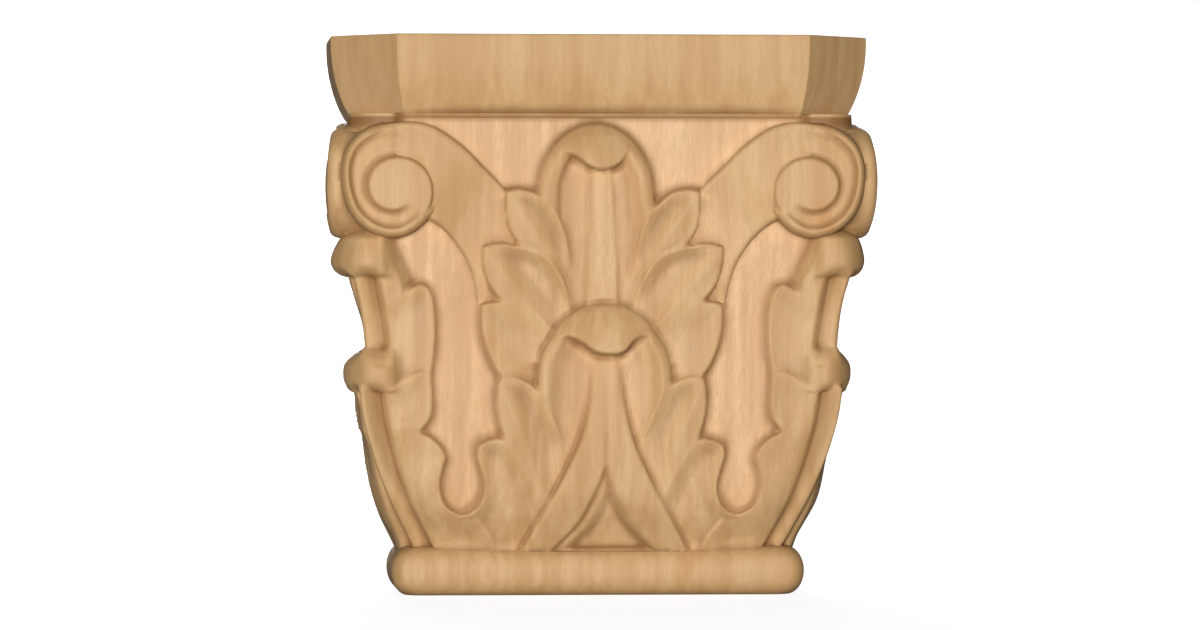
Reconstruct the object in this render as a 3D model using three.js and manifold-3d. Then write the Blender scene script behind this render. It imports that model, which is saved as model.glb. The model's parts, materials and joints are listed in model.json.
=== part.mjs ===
// Corinthian pilaster capital, carved from one block of maple. Millimetres, +Z up.
// The front faces -Y, the flat back is at +Y, and the origin is under the middle of the block.

import * as THREE from 'three';
import { mergeVertices } from 'three/addons/utils/BufferGeometryUtils.js';
import Module from 'manifold-3d';

const wasm = await Module();
wasm.setup();

// Driving dimensions
const overallWidth = 137.4;
const overallHeight = 140;
const overallDepth = 54;
const torusHeight = 12.2;
const torusHalfWidth = 51.9;
const torusNose = 4.2;
const torusCornerRadius = 4;
const abacusHeight = 20.6;
const abacusHalfWidth = 67.3;
const abacusInset = 5.3;
const abacusFillet = 1.5;
const abacusCornerCut = 16.2;
const bellCornerRadius = 10;
const sunk = 3;

// Relief of the carving, measured out from the ground of the bell
const bladeRise = 3;
const tipRise = 3.6;
const lobeHollow = 1.3;
const stemRise = 1.9;
const ribRise = 3.9;
const ribHalfWidth = 2.4;
const grooveOffset = 5;
const grooveHalfWidth = 3;
const grooveFloor = 0.7;
const midribRise = 3.2;
const leafFaceRise = 1.9;
const leafFaceHollow = 0.8;
const hoodEdgeRise = 3.4;

// Volute, with its spiral drawn round the eye
const voluteSetback = 17.7;
const eyeCentre = { inward: 17.1, level: 102.1 };
const eyeFall = 0.9;
const spiralGrooveDepth = 2.8;
const spiralBandDepth = 1.5;
const spiralFilletDepth = 0.5;
const spiralFilletWidth = 1.6;
const rimRoundDepth = 3.4;
const rimRoundWidth = 1.1;

// The carving is drawn for a bell of this half width, foot and height, and follows the real bell
const drawn = { halfWidth: 68.7, foot: 12.2, bell: 107.2 };

const halfWidth = overallWidth / 2;
const frontFace = -overallDepth / 2;
const backFace = overallDepth / 2;
const bellHeight = overallHeight - torusHeight - abacusHeight;
const bellTop = torusHeight + bellHeight;
const levelOf = (drawnLevel) => torusHeight + ((drawnLevel - drawn.foot) / drawn.bell) * bellHeight;
const widthOf = (drawnWidth) => (drawnWidth / drawn.halfWidth) * halfWidth;

// Whole numbers from 0 to the last
const countTo = (last) => [...Array(last + 1).keys()];

// A smooth curve through pairs of place and value, level beyond both ends
function curveThrough(pairs) {
  const slope = (i) => {
    const before = pairs[Math.max(i - 1, 0)];
    const after = pairs[Math.min(i + 1, pairs.length - 1)];
    return (after[1] - before[1]) / (after[0] - before[0]);
  };
  return (place) => {
    if (place <= pairs[0][0]) return pairs[0][1];
    const i = pairs.findIndex((pair) => pair[0] >= place) - 1;
    if (i < 0) return pairs[pairs.length - 1][1];
    const span = pairs[i + 1][0] - pairs[i][0];
    const t = (place - pairs[i][0]) / span;
    const rise = pairs[i + 1][1] - pairs[i][1];
    const start = slope(i) * span;
    const end = slope(i + 1) * span;
    const square = 3 * rise - 2 * start - end;
    const cube = start + end - 2 * rise;
    return pairs[i][1] + start * t + square * t ** 2 + cube * t ** 3;
  };
}

// Straight lines through pairs of place and value
function linesThrough(pairs) {
  return (place) => {
    const i = pairs.findIndex((pair) => pair[0] >= place);
    if (i === 0) return pairs[0][1];
    if (i < 0) return pairs[pairs.length - 1][1];
    const t = (place - pairs[i - 1][0]) / (pairs[i][0] - pairs[i - 1][0]);
    return THREE.MathUtils.lerp(pairs[i - 1][1], pairs[i][1], t);
  };
}

// Pairs of level and width from the drawing of the carving, put on the real bell
const scaled = (pairs) => pairs.map(([level, width]) => [levelOf(level), widthOf(width)]);
const drawnCurve = (pairs) => curveThrough(scaled(pairs));
const evenLevels = (low, high, rows) => (
  countTo(rows).map((row) => levelOf(THREE.MathUtils.lerp(low, high, row / rows)))
);

// Ground of the bell, half width by level: a slow flare from the torus to the abacus
const bellHalfWidth = drawnCurve([
  [11, 46.6], [24, 52.5], [39, 55.5], [50, 57], [62, 57.5], [74, 58.5], [84, 60], [95, 61], [120, 60.8],
]);

// Y of the front of a ring that is this wide: the front steps back as much as the sides step in
const frontOf = (half) => frontFace + (halfWidth - half);

// A closed solid from a geometry, with shared corners merged and its faces turned out
function solidFrom(geometry) {
  geometry.deleteAttribute('normal');
  geometry.deleteAttribute('uv');
  const merged = mergeVertices(geometry);
  const corners = merged.attributes.position;
  const triangles = [];
  const [a, b, c] = [new THREE.Vector3(), new THREE.Vector3(), new THREE.Vector3()];
  let volume = 0;
  for (let i = 0; i < merged.index.count; i += 3) {
    const face = [merged.index.getX(i), merged.index.getX(i + 1), merged.index.getX(i + 2)];
    if (new Set(face).size < 3) continue;
    triangles.push(face);
    a.fromBufferAttribute(corners, face[0]);
    b.fromBufferAttribute(corners, face[1]);
    c.fromBufferAttribute(corners, face[2]);
    volume += a.dot(b.cross(c));
  }
  const outward = volume > 0 ? triangles : triangles.map(([first, second, third]) => [first, third, second]);
  return new wasm.Manifold(new wasm.Mesh({
    numProp: 3,
    vertProperties: new Float32Array(corners.array),
    triVerts: new Uint32Array(outward.flat()),
  }));
}

// A box of columns and rows whose corners are put in place by a function of across, up and outer
function slab(columns, rows, place) {
  const box = new THREE.BoxGeometry(1, 1, 1, columns, rows, 1);
  const corners = box.attributes.position;
  for (let i = 0; i < corners.count; i += 1) {
    const across = Math.round((corners.getX(i) + 0.5) * columns) / columns;
    const up = Math.round((corners.getY(i) + 0.5) * rows) / rows;
    const point = place(across, up, corners.getZ(i) > 0);
    corners.setXYZ(i, point.x, point.y, point.z);
  }
  return solidFrom(box);
}

// Outline of one ring of the block: flat back, straight sides and front, corners cut or rounded
function ringOutline(half, cornerPoints) {
  const right = cornerPoints.map(([side, front]) => new THREE.Vector2(half - side, frontOf(half) + front));
  const left = right.map((point) => new THREE.Vector2(-point.x, point.y)).reverse();
  return [new THREE.Vector2(-half, backFace), ...left, ...right, new THREE.Vector2(half, backFace)];
}

// Corner of a ring as setbacks from the side and from the front, front end first
function roundCorner(radius, steps) {
  const points = [];
  for (let i = 0; i <= steps; i += 1) {
    const turn = (Math.PI / 2) * (i / steps);
    points.push([radius * (1 - Math.sin(turn)), radius * (1 - Math.cos(turn))]);
  }
  return points;
}
const cutCorner = (leg) => [[leg, 0], [0, leg]];

// A closed stack of rings, each an outline at its level, all with as many points
function stackSolid(rings) {
  const count = rings[0].outline.length;
  const corners = rings.flatMap(({ level, outline }) => outline.flatMap(({ x, y }) => [x, y, level]));
  const triangles = [];
  for (let ring = 0; ring < rings.length - 1; ring += 1) {
    for (let i = 0; i < count; i += 1) {
      const here = ring * count + i;
      const next = ring * count + ((i + 1) % count);
      triangles.push(here, next, here + count, next, next + count, here + count);
    }
  }
  const topRing = (rings.length - 1) * count;
  for (const [a, b, c] of THREE.ShapeUtils.triangulateShape(rings[0].outline, [])) triangles.push(a, c, b);
  for (const [a, b, c] of THREE.ShapeUtils.triangulateShape(rings.at(-1).outline, [])) {
    triangles.push(topRing + a, topRing + b, topRing + c);
  }
  const geometry = new THREE.BufferGeometry();
  geometry.setAttribute('position', new THREE.Float32BufferAttribute(corners, 3));
  geometry.setIndex(triangles);
  return solidFrom(geometry);
}

// Bell: the plain ground, from inside the torus to inside the abacus
function bellSolid() {
  const rows = 10;
  const overlap = 1;
  return stackSolid(countTo(rows).map((row) => {
    const level = THREE.MathUtils.lerp(torusHeight - overlap, bellTop + overlap, row / rows);
    return { level, outline: ringOutline(bellHalfWidth(level), roundCorner(bellCornerRadius, 4)) };
  }));
}

// Torus: a half round that runs along the sides and the front
function torusSolid() {
  const rows = 6;
  return stackSolid(countTo(rows).map((row) => {
    const turn = Math.PI * (row / rows);
    const level = (torusHeight / 2) * (1 - Math.cos(turn));
    const half = torusHalfWidth - torusNose * (1 - Math.sin(turn));
    return { level, outline: ringOutline(half, roundCorner(torusCornerRadius, 3)) };
  }));
}

// Abacus: a quarter round that swells upwards to a narrow fillet, mitred round the cut corners
function abacusSolid() {
  const rows = 6;
  const roundTop = overallHeight - abacusFillet;
  const levels = countTo(rows).map((row) => {
    const share = row / rows;
    const level = THREE.MathUtils.lerp(bellTop, roundTop, share);
    return { level, inset: abacusInset * (1 - Math.sin((Math.PI / 2) * share ** 0.8)) };
  });
  levels.push({ level: overallHeight, inset: 0 });
  const mitre = 2 - Math.SQRT2;
  return stackSolid(levels.map(({ level, inset }) => ({
    level,
    outline: ringOutline(abacusHalfWidth - inset, cutCorner(abacusCornerCut - inset * mitre)),
  })));
}

// The bell unrolled: along is the way round from the middle of the front, rise is out of the ground
const cornerArc = (Math.PI / 2) * bellCornerRadius;
const diagonalAt = (level) => bellHalfWidth(level) - bellCornerRadius + cornerArc / 2;

function onBell(along, level, rise) {
  const half = bellHalfWidth(level);
  const front = frontOf(half);
  const flat = half - bellCornerRadius;
  const side = along < 0 ? -1 : 1;
  const run = Math.abs(along);
  if (run <= flat) return new THREE.Vector3(along, front - rise, level);
  if (run >= flat + cornerArc) {
    return new THREE.Vector3(side * (half + rise), front + bellCornerRadius + run - flat - cornerArc, level);
  }
  const turn = (run - flat) / bellCornerRadius;
  const reach = bellCornerRadius + rise;
  const x = side * (flat + reach * Math.sin(turn));
  return new THREE.Vector3(x, front + bellCornerRadius - reach * Math.cos(turn), level);
}

// A carved form is made on the right of the front and repeated to the left, round the corner, or both
const asDrawn = (point) => point;
const toTheLeft = (point) => new THREE.Vector3(-point.x, point.y, point.z);
const roundTheCorner = (point) => (
  new THREE.Vector3(halfWidth - (point.y - frontFace), frontFace + (halfWidth - point.x), point.z)
);
const roundTheLeftCorner = (point) => toTheLeft(roundTheCorner(point));
const bothHalves = [asDrawn, toTheLeft];
const bothSides = [asDrawn, toTheLeft, roundTheCorner, roundTheLeftCorner];

// A spoon-shaped lobe: widest past its middle, pointed at the tip, hollowed along its length
function lobeSolid({ root, tip, bow, width, foot = 0.55, lift = 0 }, mirror) {
  const start = new THREE.Vector2(widthOf(root[0]), levelOf(root[1]));
  const end = new THREE.Vector2(widthOf(tip[0]), levelOf(tip[1]));
  const way = end.clone().sub(start);
  const middle = start.clone().add(end).multiplyScalar(0.5);
  middle.add(new THREE.Vector2(-way.y, way.x).normalize().multiplyScalar(bow));
  const spine = new THREE.QuadraticBezierCurve(start, middle, end);
  const widest = 0.62;
  const blunt = 0.07;
  return slab(7, 4, (along, across, outer) => {
    const point = spine.getPoint(along);
    const tangent = spine.getTangent(along);
    const opening = THREE.MathUtils.lerp(foot, 1, Math.sin((Math.PI / 2) * Math.min(along / widest, 1)));
    const closing = Math.cos((Math.PI / 2) * Math.max((along - widest) / (1 - widest), 0)) ** 0.75;
    const side = 2 * across - 1;
    const reach = (width / 2) * opening * Math.max(closing, blunt) * side;
    const hollow = lobeHollow * (1 - side ** 2) * Math.sin(Math.PI * Math.min(along + 0.1, 1));
    const rise = THREE.MathUtils.lerp(bladeRise, tipRise, along) + lift - hollow;
    const x = point.x - tangent.y * reach;
    const z = point.y + tangent.x * reach;
    return mirror(onBell(x, z, outer ? rise : -sunk));
  });
}

// Upper and lower central leaves: their lobes as root and tip, width across and bow of the spine
const leafLobes = [
  { root: [9, 80], tip: [24.7, 101.4], bow: 1.5, width: 13.5 },
  { root: [7, 69], tip: [30.5, 87.4], bow: 2.5, width: 14.5 },
  { root: [8, 54], tip: [30.8, 72], bow: 4, width: 19 },
  { root: [12, 24], tip: [26.2, 53.8], bow: 2.2, width: 15.5, lift: 0.4 },
];

// Hood: the curled tip of a central leaf, an upright half oval with a drooping lip underneath
function hoodSolid({ half, top, spring, lipHalf, lipEnd, lipDip, bulge }) {
  const [hoodHalf, hoodTop, hoodSpring] = [widthOf(half), levelOf(top), levelOf(spring)];
  const [lipReach, lipLevel, dip] = [widthOf(lipHalf), levelOf(lipEnd), lipDip];
  const tail = (hoodTop - hoodSpring) * 0.4;
  const bandColumns = 2;
  const columns = 14;
  const place = (column) => {
    const fromEdge = Math.min(column, columns - column);
    const sign = column < columns / 2 ? -1 : 1;
    if (fromEdge <= bandColumns) {
      const share = fromEdge / bandColumns;
      return sign * THREE.MathUtils.lerp(hoodHalf * 0.995, lipReach + 0.25, share);
    }
    const share = (fromEdge - bandColumns - 1) / (columns / 2 - bandColumns - 1);
    return sign * THREE.MathUtils.lerp(lipReach, 0, share);
  };
  return slab(columns, 5, (across, up, outer) => {
    const x = place(Math.round(across * columns));
    const crown = hoodSpring + (hoodTop - hoodSpring) * Math.sqrt(1 - (x / hoodHalf) ** 2);
    const lip = lipLevel - dip * Math.exp(-((x / (lipReach * 0.42)) ** 2));
    const low = Math.abs(x) > lipReach ? hoodSpring - tail : lip;
    const level = THREE.MathUtils.lerp(low, crown, up);
    const high = (level - lipLevel) / (hoodTop - lipLevel);
    const swell = Math.sqrt(Math.max(0, 1 - (x / hoodHalf) ** 2 - Math.max(high, 0) ** 2));
    const fade = THREE.MathUtils.smoothstep(level, hoodSpring - tail, lipLevel);
    const rise = hoodEdgeRise * THREE.MathUtils.lerp(0.6, 1, fade) + bulge * swell * fade;
    return onBell(x, level, outer ? rise : -sunk);
  });
}

const hoods = [
  { half: 16.9, top: 73.7, spring: 54, lipHalf: 11.2, lipEnd: 65, lipDip: 4.5, bulge: 4 },
  { half: 14.7, top: 118, spring: 101.4, lipHalf: 8.6, lipEnd: 110.9, lipDip: 4.3, bulge: 3.2 },
];

// A form bounded left and right by curves of level, with a rise worked out across it
function bandSolid({ levels, inner, outer: outerEdge, rise, columns }, mirror) {
  const rows = levels.length - 1;
  return slab(columns, rows, (across, up, outer) => {
    const level = levels[Math.round(up * rows)];
    const along = THREE.MathUtils.lerp(inner(level), outerEdge(level), across);
    return mirror(onBell(along, level, outer ? rise(across, up) : -sunk));
  });
}

// Face of each central leaf behind its midrib and lobes
const leafFaces = [
  { low: 11, high: 66, edge: [[11, 24], [25, 20], [40, 16], [54, 14], [66, 12]] },
  { low: 50, high: 112, edge: [[50, 20], [75, 14], [88, 12], [101, 12], [112, 8]] },
];

function leafFaceSolid({ low, high, edge }) {
  const half = drawnCurve(edge);
  return bandSolid({
    levels: evenLevels(low, high, 7),
    inner: (level) => -half(level),
    outer: half,
    rise: (across) => leafFaceRise - leafFaceHollow * Math.sin(Math.PI * across * 2) ** 2,
    columns: 8,
  }, asDrawn);
}

// Midrib of the upper leaf, and one leg of the lower leaf's midrib, which forks round a point
const upperMidribHalf = drawnCurve([[70, 4.3], [90, 3.6], [109, 2.8]]);
const legOuter = drawnCurve([
  [11.5, 21.2], [19.2, 15.9], [25.4, 12.5], [31.6, 9.3], [39.1, 6.7], [46.6, 4.7], [62, 3.1],
]);
const legInner = drawnCurve([[11.5, 13.2], [17.9, 7.5], [22.9, 4.1], [27.9, 1.9], [32.6, -0.2], [62, -0.2]]);
const crowned = (across) => midribRise * (0.8 + 0.2 * Math.sin(Math.PI * across));

function upperMidribSolid() {
  return bandSolid({
    levels: evenLevels(68, 109, 3),
    inner: (level) => -upperMidribHalf(level),
    outer: upperMidribHalf,
    rise: crowned,
    columns: 4,
  }, asDrawn);
}

function lowerMidribLeg(mirror) {
  return bandSolid({
    levels: evenLevels(11.5, 62, 10),
    inner: legInner,
    outer: legOuter,
    rise: crowned,
    columns: 2,
  }, mirror);
}

// Inner skirt: the lowest lobe of the lower leaf, running out to the rim of the drop-shaped hollow
const skirtRim = scaled([
  [11, 34.8], [20.6, 34.8], [21.6, 32.2], [24, 30.5], [27.7, 29.6], [32, 30.6], [36, 31.6], [38.6, 31],
  [39.6, 27],
]);

function skirtSolid(mirror) {
  return bandSolid({
    levels: skirtRim.map(([level]) => level),
    inner: linesThrough(scaled([[11, 16], [40, 9]])),
    outer: linesThrough(skirtRim),
    rise: (across, up) => bladeRise - lobeHollow * Math.sin(Math.PI * across) * Math.sin(Math.PI * up ** 0.7),
    columns: 3,
  }, mirror);
}

// Corner leaves: two tiers, each from the ground channel on the front to its twin on the side,
// with a rib along the corner and a deep groove on either side of it
const cornerTiers = [
  [
    [11, 34.6], [20.6, 34.6], [21.6, 37], [24, 38.9], [27.7, 39.7], [32, 39], [35.4, 38], [38.4, 40.6],
    [40.6, 43.4], [42, 42.6], [49, 42.2], [54, 42.6], [56.2, 45.5],
  ],
  [[54, 43], [57.8, 42], [62.8, 41], [69, 41.1], [74, 43], [77.3, 45.8], [78.5, 48], [84, 49.4], [92, 51.5]],
];
const ribOffsets = [0, ribHalfWidth * 0.5, ribHalfWidth, grooveOffset, grooveOffset + grooveHalfWidth * 0.5,
  grooveOffset + grooveHalfWidth];
const ribRises = [ribRise, ribRise * 0.93, ribRise * 0.62, grooveFloor, grooveFloor + 0.9, bladeRise];

function cornerLeafSolid(tier, mirror) {
  const edge = scaled(tier);
  const bladeColumns = 2;
  const half = ribOffsets.length - 1 + bladeColumns;
  const rows = edge.length - 1;
  return slab(2 * half, rows, (across, up, outer) => {
    const column = Math.round(across * 2 * half) - half;
    const step = Math.abs(column);
    const [level, edgePlace] = edge[Math.round(up * rows)];
    const diagonal = diagonalAt(level);
    const reach = diagonal - edgePlace;
    const lastRib = ribOffsets.length - 1;
    let offset = ribOffsets[Math.min(step, lastRib)];
    let rise = ribRises[Math.min(step, lastRib)];
    if (step > lastRib) {
      const share = (step - lastRib) / bladeColumns;
      offset = THREE.MathUtils.lerp(offset, Math.max(reach, offset + 1), share);
      rise = bladeRise - lobeHollow * 0.6 * Math.sin(Math.PI * share);
    }
    return mirror(onBell(diagonal + Math.sign(column) * offset, level, outer ? rise : -sunk));
  });
}

// Beak: the curled tip of a corner leaf, a rounded knob across the corner
const beaks = [
  { nose: 63.5, level: 55.6, tall: 5.8 },
  { nose: 66.6, level: 84.2, tall: 5.6 },
];
const beakReach = 8.5;
const beakWide = 9;
const beakRoof = 1.35;

function beakSolid({ nose, level, tall }, mirror) {
  const ball = new THREE.SphereGeometry(1, 12, 8);
  ball.rotateX(Math.PI / 2);
  ball.scale(beakReach, beakWide, tall);
  ball.rotateZ(-Math.PI / 4);
  const setback = widthOf(nose) - Math.hypot(beakReach, beakWide) / Math.SQRT2;
  ball.translate(setback, frontOf(setback), levelOf(level));
  const corners = ball.attributes.position;
  const point = new THREE.Vector3();
  for (let i = 0; i < corners.count; i += 1) {
    point.fromBufferAttribute(corners, i);
    const above = Math.max(point.z - levelOf(level), 0);
    point.z += above * (beakRoof - 1);
    point.copy(mirror(point));
    corners.setXYZ(i, point.x, point.y, point.z);
  }
  return solidFrom(ball);
}

// Volute: a short drum with a spiral band on its face that winds in to a round eye
const degrees = THREE.MathUtils.degToRad;
const turnStart = degrees(-134);
const radiusByTurn = (pairs) => curveThrough(pairs.map(([turn, radius]) => [degrees(turn), radius]));
const grooveRadius = radiusByTurn([[-134, 5.2], [-88, 6.2], [4, 7.2], [97, 7.5], [184, 9.4], [226, 10.2]]);
const rimRadius = radiusByTurn([
  [-134, 11.4], [-90, 12.8], [-45, 13], [0, 13.5], [45, 16], [90, 16.2], [135, 15.2], [180, 12.4], [226, 11.4],
]);

function voluteSolid(mirror) {
  const faceStations = 7;
  const outline = countTo(faceStations).map((station) => new THREE.Vector2(station, 0));
  outline.push(new THREE.Vector2(faceStations, 1), new THREE.Vector2(0, 1));
  const drum = new THREE.LatheGeometry(outline, 24);
  const corners = drum.attributes.position;
  const centreX = halfWidth - eyeCentre.inward;
  const centreZ = levelOf(eyeCentre.level);
  for (let i = 0; i < corners.count; i += 1) {
    const across = corners.getX(i);
    const up = corners.getZ(i);
    const station = Math.round(Math.hypot(across, up));
    let turn = Math.atan2(up, across);
    if (turn < turnStart - 0.001) turn += 2 * Math.PI;
    const groove = grooveRadius(turn);
    const rim = rimRadius(turn);
    const radii = [0, groove * 0.6, groove - 1, groove, groove + 1.2, rim - spiralFilletWidth,
      rim - rimRoundWidth * 0.4, rim];
    const depths = [0, 0, eyeFall, spiralGrooveDepth, spiralBandDepth, spiralFilletDepth, rimRoundWidth,
      rimRoundDepth];
    const y = corners.getY(i) > 0.5 ? frontFace + voluteSetback : frontFace + depths[station];
    const x = centreX + Math.cos(turn) * radii[station];
    const placed = mirror(new THREE.Vector3(x, y, centreZ + Math.sin(turn) * radii[station]));
    corners.setXYZ(i, placed.x, placed.y, placed.z);
  }
  return solidFrom(drum);
}

// Stem: the band that rises from behind the central leaves and rolls into the volute
const stemUpper = [
  [57, 117.2], [51, 118.2], [45.5, 117.9], [40.7, 116.3], [34.6, 111.9], [30.4, 107.6], [24.3, 101.4],
  [17, 92], [13, 80], [12, 69],
];
const stemLower = [
  [57, 100], [51, 98], [44, 94.6], [40.8, 92.2], [37.6, 89.4], [34.5, 84.7], [32.6, 81], [31.4, 76.6],
  [30.9, 73], [30.9, 66],
];
const stemFaceDepth = 1.9;

function stemSolid(mirror) {
  const placed = (points) => points.map(([x, z]) => new THREE.Vector2(widthOf(x), levelOf(z)));
  const upper = new THREE.SplineCurve(placed(stemUpper));
  const lower = new THREE.SplineCurve(placed(stemLower));
  return slab(12, 3, (along, across, outer) => {
    const point = lower.getPoint(along).lerp(upper.getPoint(along), across);
    const ground = frontOf(bellHalfWidth(point.y));
    const atVolute = ground - (frontFace + stemFaceDepth);
    const share = THREE.MathUtils.smoothstep(along, 0.14, 0.6);
    const edge = 0.7 * Math.abs(2 * across - 1) ** 2;
    const rise = THREE.MathUtils.lerp(atVolute, stemRise, share) + edge * share;
    return mirror(onBell(point.x, point.y, outer ? rise : -sunk));
  });
}

// Everything is joined into the one block, and the back is cut flat
function capitalSolid() {
  const forms = [torusSolid(), abacusSolid(), upperMidribSolid()];
  forms.push(...leafFaces.map(leafFaceSolid), ...hoods.map(hoodSolid));
  forms.push(...bothHalves.map(lowerMidribLeg));
  for (const mirror of bothHalves) forms.push(...leafLobes.map((lobe) => lobeSolid(lobe, mirror)));
  for (const mirror of bothSides) forms.push(skirtSolid(mirror), voluteSolid(mirror), stemSolid(mirror));
  for (const mirror of bothHalves) {
    forms.push(...cornerTiers.map((tier) => cornerLeafSolid(tier, mirror)));
    forms.push(...beaks.map((beak) => beakSolid(beak, mirror)));
  }
  const block = new THREE.BoxGeometry(overallWidth, overallDepth, overallHeight);
  block.translate(0, 0, overallHeight / 2);
  return forms.reduce((joined, form) => joined.add(form), bellSolid()).intersect(solidFrom(block));
}

function meshFrom(solid, name, material) {
  const { vertProperties, triVerts } = solid.getMesh();
  const geometry = new THREE.BufferGeometry();
  geometry.setAttribute('position', new THREE.BufferAttribute(vertProperties, 3));
  geometry.setIndex(new THREE.BufferAttribute(triVerts, 1));
  const mesh = new THREE.Mesh(geometry, material);
  mesh.name = name;
  return mesh;
}

const maple = new THREE.MeshStandardMaterial({ color: '#d8b080', roughness: 0.6, metalness: 0 });

const capital = new THREE.Group();
capital.add(meshFrom(capitalSolid(), 'capital', maple));

export default capital;
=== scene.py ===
"""Corinthian pilaster capital carved from one block of bare maple, and the studio it stands in.

The capital's sizes are in millimetres, and `mesh_object` turns them into metres where a mesh is
made. The studio's sizes are in metres. Two numbers that belong together, such as where a curve
starts and where it ends, are held as a pair.
"""

import json
import logging
import math
from dataclasses import dataclass
from enum import Enum
from typing import Callable, Sequence

import bpy
import numpy as np
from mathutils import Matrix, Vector

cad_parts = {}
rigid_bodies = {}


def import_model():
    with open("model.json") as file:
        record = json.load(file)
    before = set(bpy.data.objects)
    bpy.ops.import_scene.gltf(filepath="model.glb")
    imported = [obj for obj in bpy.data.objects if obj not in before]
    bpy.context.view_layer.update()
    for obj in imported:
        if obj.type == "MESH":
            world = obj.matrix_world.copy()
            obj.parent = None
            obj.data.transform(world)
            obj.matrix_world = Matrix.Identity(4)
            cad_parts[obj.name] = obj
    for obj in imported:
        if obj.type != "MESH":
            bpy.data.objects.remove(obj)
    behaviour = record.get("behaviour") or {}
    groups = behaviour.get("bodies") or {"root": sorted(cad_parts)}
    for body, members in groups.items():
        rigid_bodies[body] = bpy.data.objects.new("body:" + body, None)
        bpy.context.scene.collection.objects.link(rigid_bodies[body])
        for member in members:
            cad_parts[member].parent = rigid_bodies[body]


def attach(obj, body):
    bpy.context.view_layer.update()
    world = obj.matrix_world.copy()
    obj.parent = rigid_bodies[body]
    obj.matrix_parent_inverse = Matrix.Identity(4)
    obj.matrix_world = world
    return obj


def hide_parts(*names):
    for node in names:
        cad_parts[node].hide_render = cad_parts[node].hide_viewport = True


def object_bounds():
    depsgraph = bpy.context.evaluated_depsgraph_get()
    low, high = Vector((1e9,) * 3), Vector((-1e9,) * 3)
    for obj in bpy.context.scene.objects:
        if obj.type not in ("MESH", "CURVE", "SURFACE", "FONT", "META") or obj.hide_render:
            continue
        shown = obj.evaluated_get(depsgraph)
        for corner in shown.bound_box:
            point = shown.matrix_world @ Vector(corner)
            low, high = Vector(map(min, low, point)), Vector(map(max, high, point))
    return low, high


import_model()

MM = 0.001
CAD_BOX = [[float(value) for value in corner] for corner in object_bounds()]

Array = np.ndarray
Point = tuple[float, float]
Pairs = Sequence[Point]

logging.basicConfig(level=logging.INFO, format="%(message)s")
log = logging.getLogger("capital")


def ease(value: Array | float, low: float, high: float) -> Array:
    """Rise from 0 to 1 as value goes from low to high, with level ends: 3t^2 - 2t^3.

    Args:
        value: Where to read the curve.
        low: Value at which the curve leaves 0.
        high: Value at which it reaches 1; it may be less than low.

    Returns:
        The curve's height at each value.
    """
    share = np.clip((np.asarray(value, float) - low) / (high - low), 0.0, 1.0)
    return share * share * (3.0 - 2.0 * share)


def mix(start: Array | float, end: Array | float, share: Array | float) -> Array:
    """Return the value that lies at a share of the way from start to end."""
    return start + (end - start) * share


def quarter_round(share: Array) -> Array:
    """Rise steeply from 0 and level out at 1, as a quarter circle: sqrt(1 - (1 - share)^2)."""
    return np.sqrt(1 - (1 - np.clip(share, 0.0, 1.0)) ** 2)


def smooth_through(pairs: Pairs) -> Callable[[Array], Array]:
    """Make a smooth curve through pairs of place and value.

    Between two pairs it is the cubic whose slopes are those of the chords across each pair, and
    beyond the ends it stays level.

    Args:
        pairs: Places in rising order, each with its value.

    Returns:
        A function of an array of places.
    """
    places, values = np.array(pairs, float).T
    count = len(places)
    before = np.maximum(np.arange(count) - 1, 0)
    after = np.minimum(np.arange(count) + 1, count - 1)
    slopes = (values[after] - values[before]) / (places[after] - places[before])

    def curve(place: Array) -> Array:
        """Read the curve at each place.

        Args:
            place: Where to read it.

        Returns:
            The value there.
        """
        held = np.clip(place, places[0], places[-1])
        i = np.clip(np.searchsorted(places, held) - 1, 0, count - 2)
        span = places[i + 1] - places[i]
        t = (held - places[i]) / span
        rise = values[i + 1] - values[i]
        start, end = slopes[i] * span, slopes[i + 1] * span
        square, cube = 3 * rise - 2 * start - end, start + end - 2 * rise
        return values[i] + start * t + square * t**2 + cube * t**3

    return curve


def smooth_stroke(points: Pairs, steps: int = 6) -> Array:
    """Draw a smooth open line through points, with the same cubic as `smooth_through`.

    Args:
        points: Corners of the line in the plane of the drawing.
        steps: Straight bits between two points.

    Returns:
        The line's points as an array of x and level.
    """
    corners = np.array(points, float)
    padded = np.vstack([corners[:1], corners, corners[-1:]])
    slopes = (padded[2:] - padded[:-2]) / 2
    t = (np.arange(steps) / steps)[None, :, None]
    start, end = corners[:-1, None], corners[1:, None]
    leave, arrive = slopes[:-1, None], slopes[1:, None]
    line = (start * (1 - 3 * t**2 + 2 * t**3) + end * (3 * t**2 - 2 * t**3)
            + leave * (t - 2 * t**2 + t**3) + arrive * (t**3 - t**2))
    return np.vstack([line.reshape(-1, 2), corners[-1:]])


def signed_distance(x: Array, level: Array, outline: Array) -> Array:
    """Measure how far each point lies inside a closed outline, or outside it as a minus.

    The distance is the least one to any side, and the sign comes from how many sides a line to the
    right of the point crosses.

    Args:
        x: Across, for each point.
        level: Height, for each point.
        outline: Corners of the closed outline.

    Returns:
        Distance for each point, above 0 inside.
    """
    shortest = 1e-12
    nearest = np.full(x.shape, np.inf)
    inside = np.zeros(x.shape, bool)
    for (ax, az), (bx, bz) in zip(outline, np.roll(outline, -1, axis=0)):
        run, rise = bx - ax, bz - az
        length = run * run + rise * rise
        if length < shortest:
            continue
        share = np.clip(((x - ax) * run + (level - az) * rise) / length, 0.0, 1.0)
        nearest = np.minimum(nearest, (x - ax - share * run) ** 2 + (level - az - share * rise) ** 2)
        if rise != 0.0:
            inside ^= ((az > level) != (bz > level)) & (x < ax + (level - az) * run / rise)
    return np.where(inside, 1.0, -1.0) * np.sqrt(nearest)


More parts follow.
